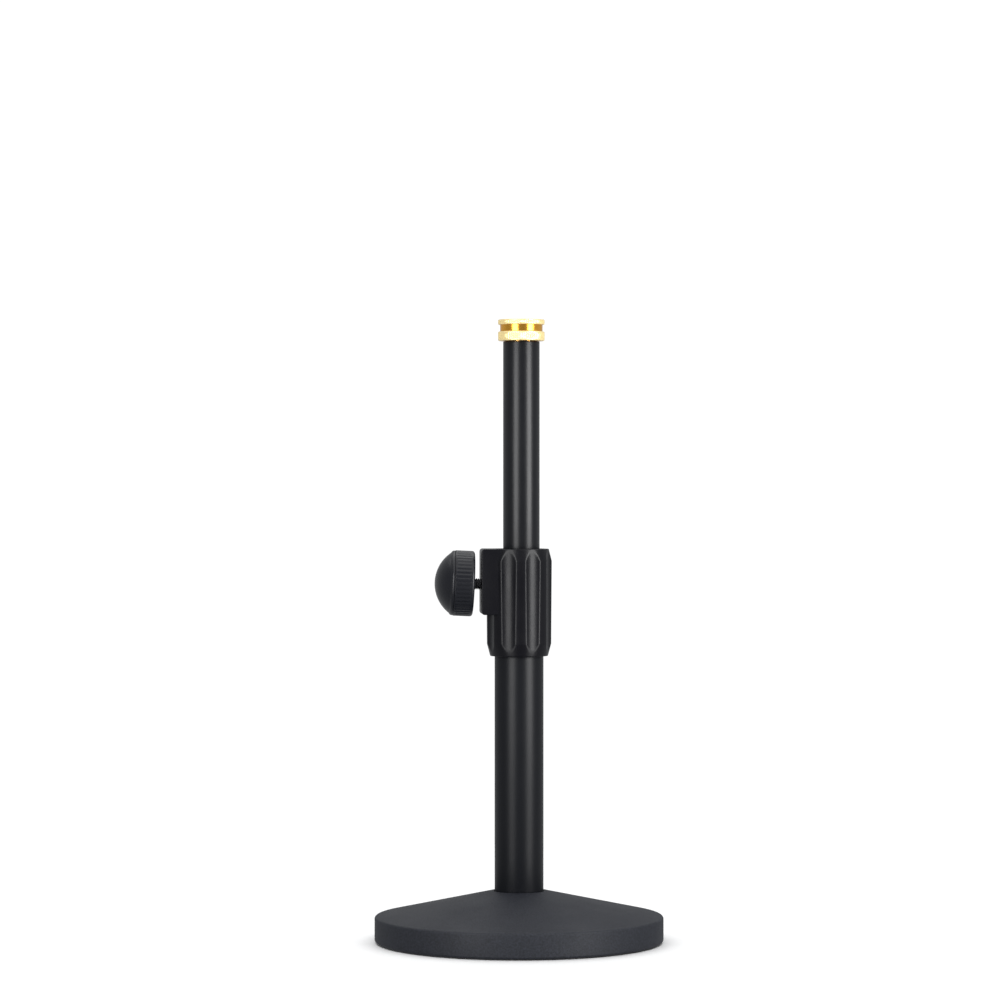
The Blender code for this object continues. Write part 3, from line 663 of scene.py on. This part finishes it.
# %% Materials: plated steel, black oxide, rubber, nylon
def mottled(name, first, second, smoothest, roughest, metallic, patch, ior=None):
    """A finish whose colour and roughness drift between two states over patches of one size."""
    material, tree, shader, place = new_material(name, first, smoothest, metallic, ior)
    patches = add_node(
        tree, "ShaderNodeTexNoise", inputs={"Scale": 1 / patch, "Detail": 4.0}, links={"Vector": place}
    )
    tint = add_node(tree, "ShaderNodeValToRGB", links={"Fac": patches.outputs["Fac"]})
    tint.color_ramp.elements[0].position = 0.35
    tint.color_ramp.elements[0].color = linear(first)
    tint.color_ramp.elements[1].position = 0.65
    tint.color_ramp.elements[1].color = linear(second)
    tree.links.new(tint.outputs["Color"], shader.inputs["Base Color"])
    gloss = add_node(
        tree,
        "ShaderNodeMapRange",
        inputs={
            "From Min": PATTERN_LOW,
            "From Max": PATTERN_HIGH,
            "To Min": smoothest,
            "To Max": roughest,
        },
        links={"Value": patches.outputs["Fac"]},
    )
    tree.links.new(gloss.outputs["Result"], shader.inputs["Roughness"])
    bump = add_node(
        tree,
        "ShaderNodeBump",
        inputs={"Strength": 0.2, "Distance": 0.03 * MM},
        links={"Height": patches.outputs["Fac"]},
    )
    tree.links.new(bump.outputs["Normal"], shader.inputs["Normal"])
    print("material", name)
    return material


zinc = mottled("zinc_plated_steel", "#B4B7BC", "#C9CBCB", 0.28, 0.42, 1.0, 3.0 * MM)
black_oxide = mottled("black_oxide_steel", "#55565A", "#66676B", 0.45, 0.60, 0.2, 1.5 * MM)
rubber = mottled("nitrile_rubber", "#0E0E0F", "#171718", 0.75, 0.88, 0.0, 1.0 * MM, 1.52)
nylon = mottled("natural_nylon", "#D6D0BE", "#DFDACB", 0.40, 0.50, 0.0, 2.0 * MM, PLASTIC_IOR)
nylon_shader = nylon.node_tree.nodes["Principled BSDF"]
nylon_shader.inputs["Subsurface Weight"].default_value = 0.15
nylon_shader.inputs["Subsurface Scale"].default_value = 1.0 * MM

# %% [markdown]
# **The base.** A cast disc, thick in the middle and thinner at the rim, machined flat under the rim. The
# corner between the cone and the side wall is rounded just enough to hold paint. The tube stands in a
# socket at the centre. Below there is a shallow recess, a boss with a counterbore for the bolt, and four
# round pockets for the feet. One outline holds all but the pockets, which are cut with round bars.

# %% Base casting
BASE_STEPS = 256
ROUND_SIDES = 64
base_low, base_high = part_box("base_casting")
base_radius = base_high.x
tube_radius = half_width("lower_tube")
foot_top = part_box("foot_pad_1")[1].z
foot_radius = half_width("foot_pad_1")
socket_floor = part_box("lower_tube_plug")[0].z
washer_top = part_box("base_flat_washer")[1].z
BASE_SHARP = 35.0
FEET = range(1, 5)
SEAT_GAP = 0.3 * MM
RIM_HEIGHT = 13.0 * MM
HUB_LAND = 1.6 * MM
RECESS_DEPTH = 3.8 * MM
FOOT_RING_WIDTH = 18.0 * MM
COUNTERBORE_RADIUS = 12.0 * MM
BOSS_WALL = 8.0 * MM
BOSS_INSET = 0.6 * MM
BOLT_HOLE_RADIUS = 4.5 * MM
bottom = base_low.z
socket_radius = tube_radius + SEAT_GAP
recess_edge = base_radius - FOOT_RING_WIDTH
boss_edge = COUNTERBORE_RADIUS + BOSS_WALL
casting_corners = [
    (socket_radius, base_high.z, 0.15 * MM),
    (tube_radius + HUB_LAND, base_high.z, 0.6 * MM),
    (base_radius, bottom + RIM_HEIGHT, 1.3 * MM),
    (base_radius, bottom, 1.5 * MM),
    (recess_edge, bottom, 0.5 * MM),
    (recess_edge, bottom + RECESS_DEPTH, 1.5 * MM),
    (boss_edge, bottom + RECESS_DEPTH, 1.5 * MM),
    (boss_edge, bottom + BOSS_INSET, 0.5 * MM),
    (COUNTERBORE_RADIUS, bottom + BOSS_INSET, 0.4 * MM),
    (COUNTERBORE_RADIUS, washer_top + SEAT_GAP, 0.0),
    (BOLT_HOLE_RADIUS, washer_top + SEAT_GAP, 0.0),
    (BOLT_HOLE_RADIUS, socket_floor - SEAT_GAP, 0.0),
    (socket_radius, socket_floor - SEAT_GAP, 0.0),
]
base = finished("base", spun(filleted(casting_corners), BASE_STEPS), smooth_below=BASE_SHARP)
for number in FEET:
    centre = middle(f"foot_pad_{number}")
    pocket = bar(ROUND_SIDES, foot_radius + SEAT_GAP, 0.0, foot_top + SEAT_GAP)
    foot_place = Matrix.Translation((centre.x, centre.y, 0.0))
    join_or_cut(base, finished("pocket", pocket, foot_place), "DIFFERENCE", BASE_SHARP)
put(base, "base_casting", "stand", powder_coat)

# %% [markdown]
# **The feet.** Each foot is a punched and lightly moulded rubber disc, stuck in its pocket, with a
# rounded lower edge and a small dimple in the middle that the mould's ejector pin leaves.

# %% Rubber feet
DIMPLE_RADIUS = 2.2 * MM
DIMPLE_DEPTH = 0.35 * MM
foot_outline = filleted(
    [
        (0.0, foot_top, 0.0),
        (foot_radius, foot_top, 0.2 * MM),
        (foot_radius, 0.0, 0.6 * MM),
        (DIMPLE_RADIUS, 0.0, 0.15 * MM),
        (DIMPLE_RADIUS - DIMPLE_DEPTH, DIMPLE_DEPTH, 0.0),
        (0.0, DIMPLE_DEPTH, 0.0),
    ]
)
for number in FEET:
    node = f"foot_pad_{number}"
    centre = middle(node)
    foot_place = Matrix.Translation((centre.x, centre.y, 0.0))
    foot = finished(f"rubber_foot_{number}", spun(foot_outline, ROUND_SIDES, closed=False), foot_place)
    put(foot, node, "stand", rubber)

# %% [markdown]
# **The base bolt.** A forged hexagon head is turned to a chamfer of about 30 degrees at its free face,
# which is why its corners look rounded off from below. So the head is a six-sided bar, kept only where it
# shares space with a turned blank.

# %% Base bolt
bolt_low, bolt_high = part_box("base_bolt")
BOLT_RADIUS = 4.0 * MM
BOLT_FLATS = 13.0 * MM
HEAD_HEIGHT = 5.3 * MM
FACE_SHARE = 0.95
BLANK_MARGIN = 1.1
CHAMFER_SHARE = 0.25
BOLT_POINT = 0.8 * MM
BOLT_SHARP = 20.0
BLANK_STEPS = 96
SHANK_STEPS = 48
head_top = bolt_low.z + HEAD_HEIGHT
blank_top = head_top + HEAD_HEIGHT
head_face_radius = BOLT_FLATS / 2 * FACE_SHARE
blank_radius = corner_radius(BOLT_FLATS) * BLANK_MARGIN
head_chamfer = blank_radius * math.tan(math.radians(30.0)) * CHAMFER_SHARE
shank_start = head_top - HEAD_HEIGHT / 2
head_bar = bar(6, corner_radius(BOLT_FLATS), bolt_low.z, head_top)
bolt = finished("base_hex_bolt", head_bar, smooth_below=BOLT_SHARP)
blank_outline = filleted(
    [
        (0.0, blank_top, 0.0),
        (blank_radius, blank_top, 0.0),
        (blank_radius, bolt_low.z + head_chamfer, 0.0),
        (head_face_radius, bolt_low.z, 0.0),
        (0.0, bolt_low.z, 0.0),
    ]
)
blank = finished("bolt_blank", spun(blank_outline, BLANK_STEPS, closed=False))
join_or_cut(bolt, blank, "INTERSECT", BOLT_SHARP)
shank_outline = filleted(
    [
        (0.0, bolt_high.z, 0.0),
        (BOLT_RADIUS - BOLT_POINT, bolt_high.z, 0.0),
        (BOLT_RADIUS, bolt_high.z - BOLT_POINT, 0.0),
        (BOLT_RADIUS, shank_start, 0.0),
        (0.0, shank_start, 0.0),
    ]
)
shank = finished("bolt_shank", spun(shank_outline, SHANK_STEPS, closed=False))
join_or_cut(bolt, shank, "UNION", BOLT_SHARP)
put(bolt, "base_bolt", "stand", zinc)
for node in ("base_flat_washer", "base_spring_washer", "lower_tube_plug", "clamp_nut"):
    repaint(node, zinc)

# %% [markdown]
# **The tubes.** Each is a length of drawn tube, sawn and then deburred, so its ends have a small bevel
# inside and out. One outline with its wall thickness is spun for each.


# %% Tubes
TUBE_WALL = 1.2 * MM
TUBE_BEVEL = 0.25 * MM
BEVEL_STEPS = 2
TUBE_STEPS = 192
TUBE_SHARP = 50.0


def tube(name, node, place, body, paint):
    """A sawn and deburred tube the size of its node."""
    low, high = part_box(node)
    outer = half_width(node)
    inner = outer - TUBE_WALL
    ends = [(inner, high.z), (outer, high.z), (outer, low.z), (inner, low.z)]
    outline = filleted([(*end, TUBE_BEVEL) for end in ends], BEVEL_STEPS)
    piece = finished(name, spun(outline, TUBE_STEPS), place, TUBE_SHARP)
    put(piece, node, body, paint)


tube("lower_post", "lower_tube", Matrix.Identity(4), "stand", enamel)
tube("upper_post", "upper_tube", column_place, "column", polished_enamel)
repaint("upper_tube_end_cap", inner_plastic)

# %% [markdown]
# **The clutch collar.** A plastic sleeve with eight shallow flutes for grip. Its blank is a lightly
# tapered drum with a long chamfer at each end. A flute is a round-bottomed groove that runs straight
# through, so where it crosses a chamfer its edges close into a pointed arch. Cutting eight bars out would
# leave knife edges. So the drum is spun with a fine skin, and each point goes to whichever is deeper, the
# drum or the groove, with the edge between them eased as in a mould.

# %% Collar drum with flutes
collar_low, collar_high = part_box("clutch_collar")
COLLAR_RADIUS = 17.0 * MM
COLLAR_LOWER_RADIUS = 16.7 * MM
TOP_CHAMFER = 1.55 * MM
TOP_CHAMFER_HEIGHT = 6.3 * MM
LOWER_CHAMFER = 1.7 * MM
LOWER_CHAMFER_HEIGHT = 6.4 * MM
FLUTES = 8
FLUTE_HALF_ANGLE = math.radians(14.0)
FLUTE_DEPTH = 1.3 * MM
EDGE_EASE = 0.28 * MM
BORE_SKIN = 0.5 * MM
SKIN_STEP = 0.45 * MM
CHAMFER_ARC_STEPS = 4
COLLAR_STEPS = 480
COLLAR_SHARP = 28.0
collar_bore = tube_radius + SEAT_GAP
half_chord = COLLAR_RADIUS * math.sin(FLUTE_HALF_ANGLE)
chord_depth = FLUTE_DEPTH - COLLAR_RADIUS * (1 - math.cos(FLUTE_HALF_ANGLE))
flute_radius = (half_chord**2 + chord_depth**2) / (2 * chord_depth)
flute_centre = COLLAR_RADIUS - FLUTE_DEPTH + flute_radius


def flute_depth(angle, radius, height):
    """How far the collar's skin lies below its drum at an angle."""
    if radius < collar_bore + BORE_SKIN:
        return 0.0
    pitch = math.tau / FLUTES
    away = (angle % pitch) - pitch / 2
    reach = flute_radius**2 - (flute_centre * math.sin(away)) ** 2
    if reach <= 0.0:
        return 0.0
    groove = flute_centre * math.cos(away) - math.sqrt(reach)
    share = min(max(0.5 + 0.5 * (groove - radius) / EDGE_EASE, 0.0), 1.0)
    eased = groove * (1 - share) + radius * share - EDGE_EASE * share * (1 - share)
    return radius - eased


drum_corners = filleted(
    [
        (COLLAR_RADIUS - TOP_CHAMFER, collar_high.z, 0.35 * MM),
        (COLLAR_RADIUS, collar_high.z - TOP_CHAMFER_HEIGHT, 1.2 * MM),
        (COLLAR_LOWER_RADIUS, collar_low.z + LOWER_CHAMFER_HEIGHT, 1.2 * MM),
        (COLLAR_LOWER_RADIUS - LOWER_CHAMFER, collar_low.z, 0.35 * MM),
        (collar_bore, collar_low.z, 0.4 * MM),
        (collar_bore, collar_high.z, 0.4 * MM),
    ],
    CHAMFER_ARC_STEPS,
)
outer_side = [p for p in drum_corners if p.x > collar_bore + BORE_SKIN]
bore_side = drum_corners[len(outer_side) :]
drum = spun(divided(outer_side, SKIN_STEP, closed=False) + bore_side, COLLAR_STEPS)
move_in(drum, flute_depth)
collar = finished("fluted_collar", drum, collar_place, COLLAR_SHARP)
print("collar drum", len(collar.data.polygons), "faces")

# %% [markdown]
# The boss that holds the clamp nut is a block, joined to the drum. Its edges that run from front to back
# have a radius of 1.5 mm. Those round its front and back faces have only 0.4 mm, so the faces keep crisp
# outlines. They are bevelled in two steps, the larger radius first.

# %% Collar boss
BOSS_REACH = 20.0 * MM
BOSS_HALF_WIDTH = 12.6 * MM
BOSS_BELOW_CLAMP = 15.7 * MM
BOSS_EDGE = 1.5 * MM
BOSS_FACE_EDGE = 0.4 * MM
BOSS_ROOT = collar_bore / 2
boss_bottom = clamp_point.z - BOSS_BELOW_CLAMP
boss_size = (BOSS_REACH - BOSS_ROOT, 2 * BOSS_HALF_WIDTH, collar_high.z - boss_bottom)
boss = bmesh.new()
bmesh.ops.create_cube(boss, size=1.0)
bmesh.ops.scale(boss, verts=boss.verts, vec=boss_size)
boss_middle = (-(BOSS_REACH + BOSS_ROOT) / 2, 0.0, (collar_high.z + boss_bottom) / 2)
bmesh.ops.translate(boss, verts=boss.verts, vec=boss_middle)


def edge_width(edge):
    """How far an edge of the boss runs from front to back."""
    return abs(edge.verts[0].co.y - edge.verts[1].co.y)


through_edges = [edge for edge in boss.edges if edge_width(edge) > MM]
bmesh.ops.bevel(
    boss, geom=through_edges, offset=BOSS_EDGE, segments=5, profile=0.5, affect="EDGES", material=-1
)
face_edges = [edge for edge in boss.edges if edge_width(edge) < MM]
bmesh.ops.bevel(
    boss, geom=face_edges, offset=BOSS_FACE_EDGE, segments=3, profile=0.5, affect="EDGES", material=-1
)
join_or_cut(collar, finished("boss", boss, collar_place), "UNION", COLLAR_SHARP)
print("collar with its boss", len(collar.data.polygons), "faces")

# %% [markdown]
# Then the bore, the six-sided nut pocket, the screw hole and the hole for the grub screw are cut through
# drum and boss together, so that no hole stops at the joint between them.

# %% Holes in the collar
SCREW_RADIUS = 3.0 * MM
NUT_FLATS = 10.0 * MM
FACE_WALL = 2.1 * MM
GRUB_RADIUS = 2.0 * MM
GRUB_GAP = 0.15 * MM
PAST_FACE = 3.0 * MM
PAST_DRUM = 20.0 * MM
SMALL_SIDES = 48
grub_turn = Matrix.Rotation(-math.pi / 2, 4, "X")
grub_lift = Matrix.Translation((0.0, 0.0, middle("collar_grub_screw").z))
grub_place = collar_place @ grub_lift @ grub_turn
bore = bar(COLLAR_STEPS, collar_bore, collar_low.z - MM, collar_high.z + MM)
pocket = bar(6, corner_radius(NUT_FLATS) + SEAT_GAP, BOSS_ROOT - BOSS_REACH, -FACE_WALL)
screw_hole = bar(ROUND_SIDES, SCREW_RADIUS + SEAT_GAP, -FACE_WALL - SEAT_GAP, PAST_FACE)
grub_hole = bar(SMALL_SIDES, GRUB_RADIUS + GRUB_GAP, BOSS_ROOT, PAST_DRUM)
for name, hole, place in (
    ("bore", bore, collar_place),
    ("pocket", pocket, clamp_place),
    ("screw_hole", screw_hole, clamp_place),
    ("grub_hole", grub_hole, grub_place),
):
    join_or_cut(collar, finished(name, hole, place), "DIFFERENCE", COLLAR_SHARP)
put(collar, "clutch_collar", "stand", collar_plastic)

# %% [markdown]
# **Bush and grub screw.** The bush lines the collar's mouth and guides the upper tube. Its rim shows as a
# thin ring round the tube, and it has a round hole for the shoe. The grub screw at the back has a hexagon
# socket, cut with a six-sided bar.

# %% Guide bush
bush_low, bush_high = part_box("guide_bush")
bush_radius = half_width("guide_bush")
BUSH_BORE = 10.85 * MM
BUSH_STEPS = 160
SHOE_HOLE_RADIUS = 4.5 * MM
bush_outline = filleted(
    [
        (BUSH_BORE, bush_high.z, 0.6 * MM),
        (bush_radius, bush_high.z, 0.2 * MM),
        (bush_radius, bush_low.z, 0.2 * MM),
        (BUSH_BORE, bush_low.z, 0.6 * MM),
    ]
)
bush = finished("guide_liner", spun(bush_outline, BUSH_STEPS), collar_place)
shoe_hole = bar(SMALL_SIDES, SHOE_HOLE_RADIUS, BOSS_ROOT - BOSS_REACH, 0.0)
join_or_cut(bush, finished("shoe_hole", shoe_hole, clamp_place), "DIFFERENCE")
put(bush, "guide_bush", "stand", inner_plastic)
repaint("pressure_shoe", nylon)

# %% Grub screw
GRUB_LENGTH = 3.2 * MM
SOCKET_RADIUS = 1.1 * MM
SOCKET_DEPTH = 1.6 * MM
grub_outer = collar_bore + GRUB_LENGTH
grub_outline = filleted(
    [
        (0.0, grub_outer, 0.0),
        (GRUB_RADIUS, grub_outer, 0.25 * MM),
        (GRUB_RADIUS, collar_bore, 0.4 * MM),
        (0.0, collar_bore, 0.0),
    ]
)
grub = finished("grub_screw", spun(grub_outline, SMALL_SIDES, closed=False), grub_place)
socket = bar(6, SOCKET_RADIUS, grub_outer - SOCKET_DEPTH, grub_outer + MM)
join_or_cut(grub, finished("socket", socket, grub_place), "DIFFERENCE")
put(grub, "collar_grub_screw", "stand", black_oxide)

# %% [markdown]
# **The clamp screw.** An M6 screw, pitch 1 mm. Only its neck shows between the boss and the knob, so that
# is where a thread has to look right. The shank's skin follows a wave that climbs one pitch each turn,
# which is lighter than a swept thread and closes by itself.

# %% Clamp screw
PITCH = 1.0 * MM
THREAD_DEPTH = 0.55 * MM
KNOB_GAP = 3.7 * MM
KNOB_WEB = 2.9 * MM
HEAD_START = KNOB_GAP + KNOB_WEB
HEAD_FLATS = 10.0 * MM
HEAD_THICK = 4.0 * MM
SHOE_BACK = -7.9 * MM
SCREW_POINT = 0.6 * MM
SCREW_SHARP = 60.0
screw_tip = SHOE_BACK + SEAT_GAP
shank_end = HEAD_START + HEAD_THICK / 2
screw_corners = filleted(
    [
        (0.0, shank_end, 0.0),
        (SCREW_RADIUS, shank_end, 0.0),
        (SCREW_RADIUS, screw_tip + SCREW_POINT, 0.0),
        (SCREW_RADIUS - SCREW_POINT, screw_tip, 0.0),
        (0.0, screw_tip, 0.0),
    ]
)
threaded_side = divided(screw_corners[1:3], PITCH / 10, closed=False)
screw_outline = screw_corners[:1] + threaded_side + screw_corners[3:]


def thread_depth(angle, radius, height):
    """Depth of a rounded thread at a point of the shank, none on the end faces."""
    if radius < SCREW_RADIUS - ON_WALL:
        return 0.0
    turn = (height / PITCH - angle / math.tau) % 1.0
    return THREAD_DEPTH * (0.5 - 0.5 * math.cos(math.tau * turn)) ** 0.8


screw_shape = spun(screw_outline, ROUND_SIDES, closed=False)
move_in(screw_shape, thread_depth)
screw = finished("clamp_bolt", screw_shape, clamp_place, SCREW_SHARP)
screw_head = bar(6, corner_radius(HEAD_FLATS), HEAD_START, HEAD_START + HEAD_THICK)
join_or_cut(screw, finished("screw_head", screw_head, clamp_place), "UNION", SCREW_SHARP)
put(screw, "clamp_screw", "knob", black_oxide)

# %% [markdown]
# **The knob.** A drum with forty-eight low rounded ribs, so that fingers grip it, and a smooth dome
# snapped into its end. The ribs fade out before both ends of the drum, as they must for the mould to
# open. The screw's hexagon head sits in a pocket of the same shape.

# %% Knob
KNOB_RADIUS = 17.0 * MM
RIM_LENGTH = 10.2 * MM
DOME_HEIGHT = 10.0 * MM
CAP_SPIGOT = 12.0 * MM
SPIGOT_DEPTH = 3.0 * MM
RIBS = 48
RIB_DEPTH = 0.20 * MM
RIB_FADE = 1.1 * MM
RIB_MARGIN = 1.3 * MM
DOME_EDGE = 0.35 * MM
BACK_EDGE = 1.4 * MM
RIM_SKIN = 0.36 * MM
RIM_STEP = 0.5 * MM
STEPS_A_RIB = 10
KNOB_SHARP = 40.0
knob_face = KNOB_GAP
dome_start = knob_face + RIM_LENGTH
recess_floor = dome_start - SPIGOT_DEPTH - SEAT_GAP


def rib_depth(angle, radius, height):
    """Depth between two ribs, fading to nothing at the ends of the rim."""
    if radius < KNOB_RADIUS - DOME_EDGE:
        return 0.0
    from_end = min(height - knob_face - RIB_MARGIN, dome_start - DOME_EDGE - height)
    fade = min(max(from_end / RIB_FADE, 0.0), 1.0)
    fade = fade * fade * (3 - 2 * fade)
    return RIB_DEPTH * fade * (0.5 - 0.5 * math.cos(RIBS * angle)) ** 1.5


knob_corners = filleted(
    [
        (CAP_SPIGOT + SEAT_GAP, dome_start, 0.2 * MM),
        (KNOB_RADIUS, dome_start, DOME_EDGE),
        (KNOB_RADIUS, knob_face, BACK_EDGE),
        (SCREW_RADIUS + SEAT_GAP, knob_face, 0.4 * MM),
        (SCREW_RADIUS + SEAT_GAP, recess_floor, 0.0),
        (CAP_SPIGOT + SEAT_GAP, recess_floor, 0.0),
    ]
)
rim_points = [p for p in knob_corners if p.x > KNOB_RADIUS - RIM_SKIN]
rim_start = knob_corners.index(rim_points[0])
rim_end = rim_start + len(rim_points)
fine_rim = divided(rim_points, RIM_STEP, closed=False)
knob_shape = spun(knob_corners[:rim_start] + fine_rim + knob_corners[rim_end:], RIBS * STEPS_A_RIB)
move_in(knob_shape, rib_depth)
knob = finished("ribbed_knob", knob_shape, clamp_place, KNOB_SHARP)
head_pocket = bar(6, corner_radius(HEAD_FLATS) + SEAT_GAP, HEAD_START - SEAT_GAP, dome_start)
join_or_cut(knob, finished("head_pocket", head_pocket, clamp_place), "DIFFERENCE", KNOB_SHARP)
put(knob, "clamp_knob", "knob", knob_plastic)

# %% [markdown]
# The dome is a slice of a sphere. Its shell is 2 mm thick with a round spigot below. At the rim the
# sphere rolls over in a lip of 1.6 mm radius, which catches the pale line between dome and drum.

# %% Knob cap
CAP_WALL = 2.0 * MM
CAP_STEPS = 40
CAP_ROUND_STEPS = 160
CAP_GAP = 0.15 * MM
CAP_INSET = 0.12 * MM
LIP_RADIUS = 1.6 * MM
LIP_HEIGHT = 1.1 * MM
SEAM_EDGE = 0.1 * MM
SPIGOT_EDGE = 0.2 * MM
cap_start = dome_start + CAP_GAP
knob_tip = dome_start + DOME_HEIGHT
cap_height = knob_tip - cap_start
cap_edge = KNOB_RADIUS - CAP_INSET
sphere = (cap_edge**2 + cap_height**2) / (2 * cap_height)
sphere_centre = knob_tip - sphere
rim_angle = math.acos((cap_start + LIP_RADIUS - sphere_centre) / sphere)
inner_sphere = sphere - CAP_WALL
spigot_bore = CAP_SPIGOT - CAP_WALL
inner_angle = math.asin(spigot_bore / inner_sphere)
spigot_end = cap_start - SPIGOT_DEPTH
dome = []
for step in range(CAP_STEPS):
    angle = rim_angle * step / CAP_STEPS
    dome.append((sphere * math.sin(angle), sphere_centre + sphere * math.cos(angle), 0.0))
dome += [
    (cap_edge, cap_start + LIP_HEIGHT, LIP_RADIUS),
    (cap_edge - SEAM_EDGE, cap_start, SEAM_EDGE),
    (CAP_SPIGOT, cap_start, 0.0),
    (CAP_SPIGOT, spigot_end, SPIGOT_EDGE),
    (spigot_bore, spigot_end, SPIGOT_EDGE),
]
for step in range(CAP_STEPS // 2 + 1):
    angle = inner_angle * (1 - 2 * step / CAP_STEPS)
    dome.append((inner_sphere * math.sin(angle), sphere_centre + inner_sphere * math.cos(angle), 0.0))
dome_shape = spun(filleted(dome), CAP_ROUND_STEPS, closed=False)
cap = finished("knob_dome", dome_shape, clamp_place, KNOB_SHARP)
put(cap, "knob_cap", "knob", knob_plastic)

# %% [markdown]
# ** The brass ring.** Two bands with a polished groove between them. The bands have a fine straight knurl,
# so that they can be turned by hand. Its teeth are drawn coarser than real ones, seventy-two round the
# ring, to show at all. Many small facets each catch a light somewhere, and the bands' pale painted sheen
# adds the rest, so the bands look bright all over while the smooth groove shows dark and light patches.

# %% Brass lock ring
ring_low, ring_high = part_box("lock_ring")
ring_radius = half_width("lock_ring")
GROOVE_RADIUS = 11.0 * MM
LOWER_BAND = 4.9 * MM
GROOVE = 3.5 * MM
STUD_RADIUS = 7.94 * MM
TEETH = 72
TOOTH_DEPTH = 0.18 * MM
TOOTH_MARGIN = 0.5 * MM
TOOTH_FADE = 0.3 * MM
STEPS_A_TOOTH = 6
STEPS_A_BAND = 6
BAND_SKIN = 0.02 * MM
RING_SHARP = 40.0
ring_bore = STUD_RADIUS + SEAT_GAP
groove_low = ring_low.z + LOWER_BAND
groove_high = groove_low + GROOVE


def knurl_depth(angle, radius, height):
    """A shallow tooth, only on the two bands and fading at their edges."""
    if radius < ring_radius - BAND_SKIN:
        return 0.0
    in_band = [(ring_low.z, groove_low), (groove_high, ring_high.z)]
    from_edge = max(min(height - low, high - height) for low, high in in_band)
    fade = min(max((from_edge - TOOTH_MARGIN) / TOOTH_FADE, 0.0), 1.0)
    return TOOTH_DEPTH * fade * (0.5 - 0.5 * math.cos(TEETH * angle))


ring_corners = filleted(
    [
        (ring_bore, ring_high.z, 0.5 * MM),
        (ring_radius, ring_high.z, 0.5 * MM),
        (ring_radius, groove_high, 0.5 * MM),
        (GROOVE_RADIUS, groove_high, 0.15 * MM),
        (GROOVE_RADIUS, groove_low, 0.15 * MM),
        (ring_radius, groove_low, 0.6 * MM),
        (ring_radius, ring_low.z, 0.6 * MM),
        (ring_bore, ring_low.z, 0.5 * MM),
    ]
)
ring_outline = []
for first, second in zip(ring_corners, ring_corners[1:] + ring_corners[:1]):
    outside = min(first.x, second.x) > ring_radius - WELD
    pieces = STEPS_A_BAND if outside else 1
    ring_outline += [first.lerp(second, step / pieces) for step in range(pieces)]
ring_shape = spun(ring_outline, TEETH * STEPS_A_TOOTH)
move_in(ring_shape, knurl_depth)
ring = finished("brass_ring", ring_shape, column_place, RING_SHARP)
put(ring, "lock_ring", "ring", ring_brass)

# %% [markdown]
# **The thread stud.** A coarse female thread for a microphone holder, 16 threads to the inch, runs
# through its centre. Outside, where the ring turns, there are 27 threads to the inch. Both are waves that
# climb one pitch a turn, like the clamp screw's.

# %% Thread stud
stud_low, stud_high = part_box("thread_stud")
STUD_BORE = 4.0 * MM
INCH = 25.4 * MM
OUTER_PITCH = INCH / 27
INNER_PITCH = INCH / 16
INNER_DEPTH = 0.75 * MM
OUTER_DEPTH = 0.5 * MM
INNER_LEAD_IN = 0.9 * MM
OUTER_LEAD_IN = 0.7 * MM
THREAD_START = 0.2 * MM
STUD_STEPS = 96
STUD_SHARP = 50.0
upper_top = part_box("upper_tube")[1].z
stud_spigot = half_width("upper_tube") - TUBE_WALL - SEAT_GAP
stud_corners = [
    (STUD_BORE, stud_high.z, 0.0),
    (STUD_RADIUS, stud_high.z, 0.0),
    (STUD_RADIUS, upper_top, 0.0),
    (stud_spigot, upper_top, 0.0),
    (stud_spigot, stud_low.z, 0.0),
    (STUD_BORE, stud_low.z, 0.0),
]
stud_outline = divided(filleted(stud_corners), OUTER_PITCH / 9)


def stud_thread(angle, radius, height):
    """Both threads, with a chamfer where each one meets the top face."""
    from_top = stud_high.z - height
    if abs(radius - STUD_BORE) < ON_WALL:
        turn = (height / INNER_PITCH - angle / math.tau) % 1.0
        wave = -INNER_DEPTH * (0.5 - 0.5 * math.cos(math.tau * turn))
        return min(wave, from_top - INNER_LEAD_IN)
    if abs(radius - STUD_RADIUS) < ON_WALL and height > upper_top + THREAD_START:
        turn = (height / OUTER_PITCH - angle / math.tau) % 1.0
        wave = OUTER_DEPTH * (0.5 - 0.5 * math.cos(math.tau * turn))
        return max(wave, OUTER_LEAD_IN - from_top)
    return 0.0


stud_shape = spun(stud_outline, STUD_STEPS)
move_in(stud_shape, stud_thread)
stud = finished("brass_stud", stud_shape, column_place, STUD_SHARP)
put(stud, "thread_stud", "column", brass)
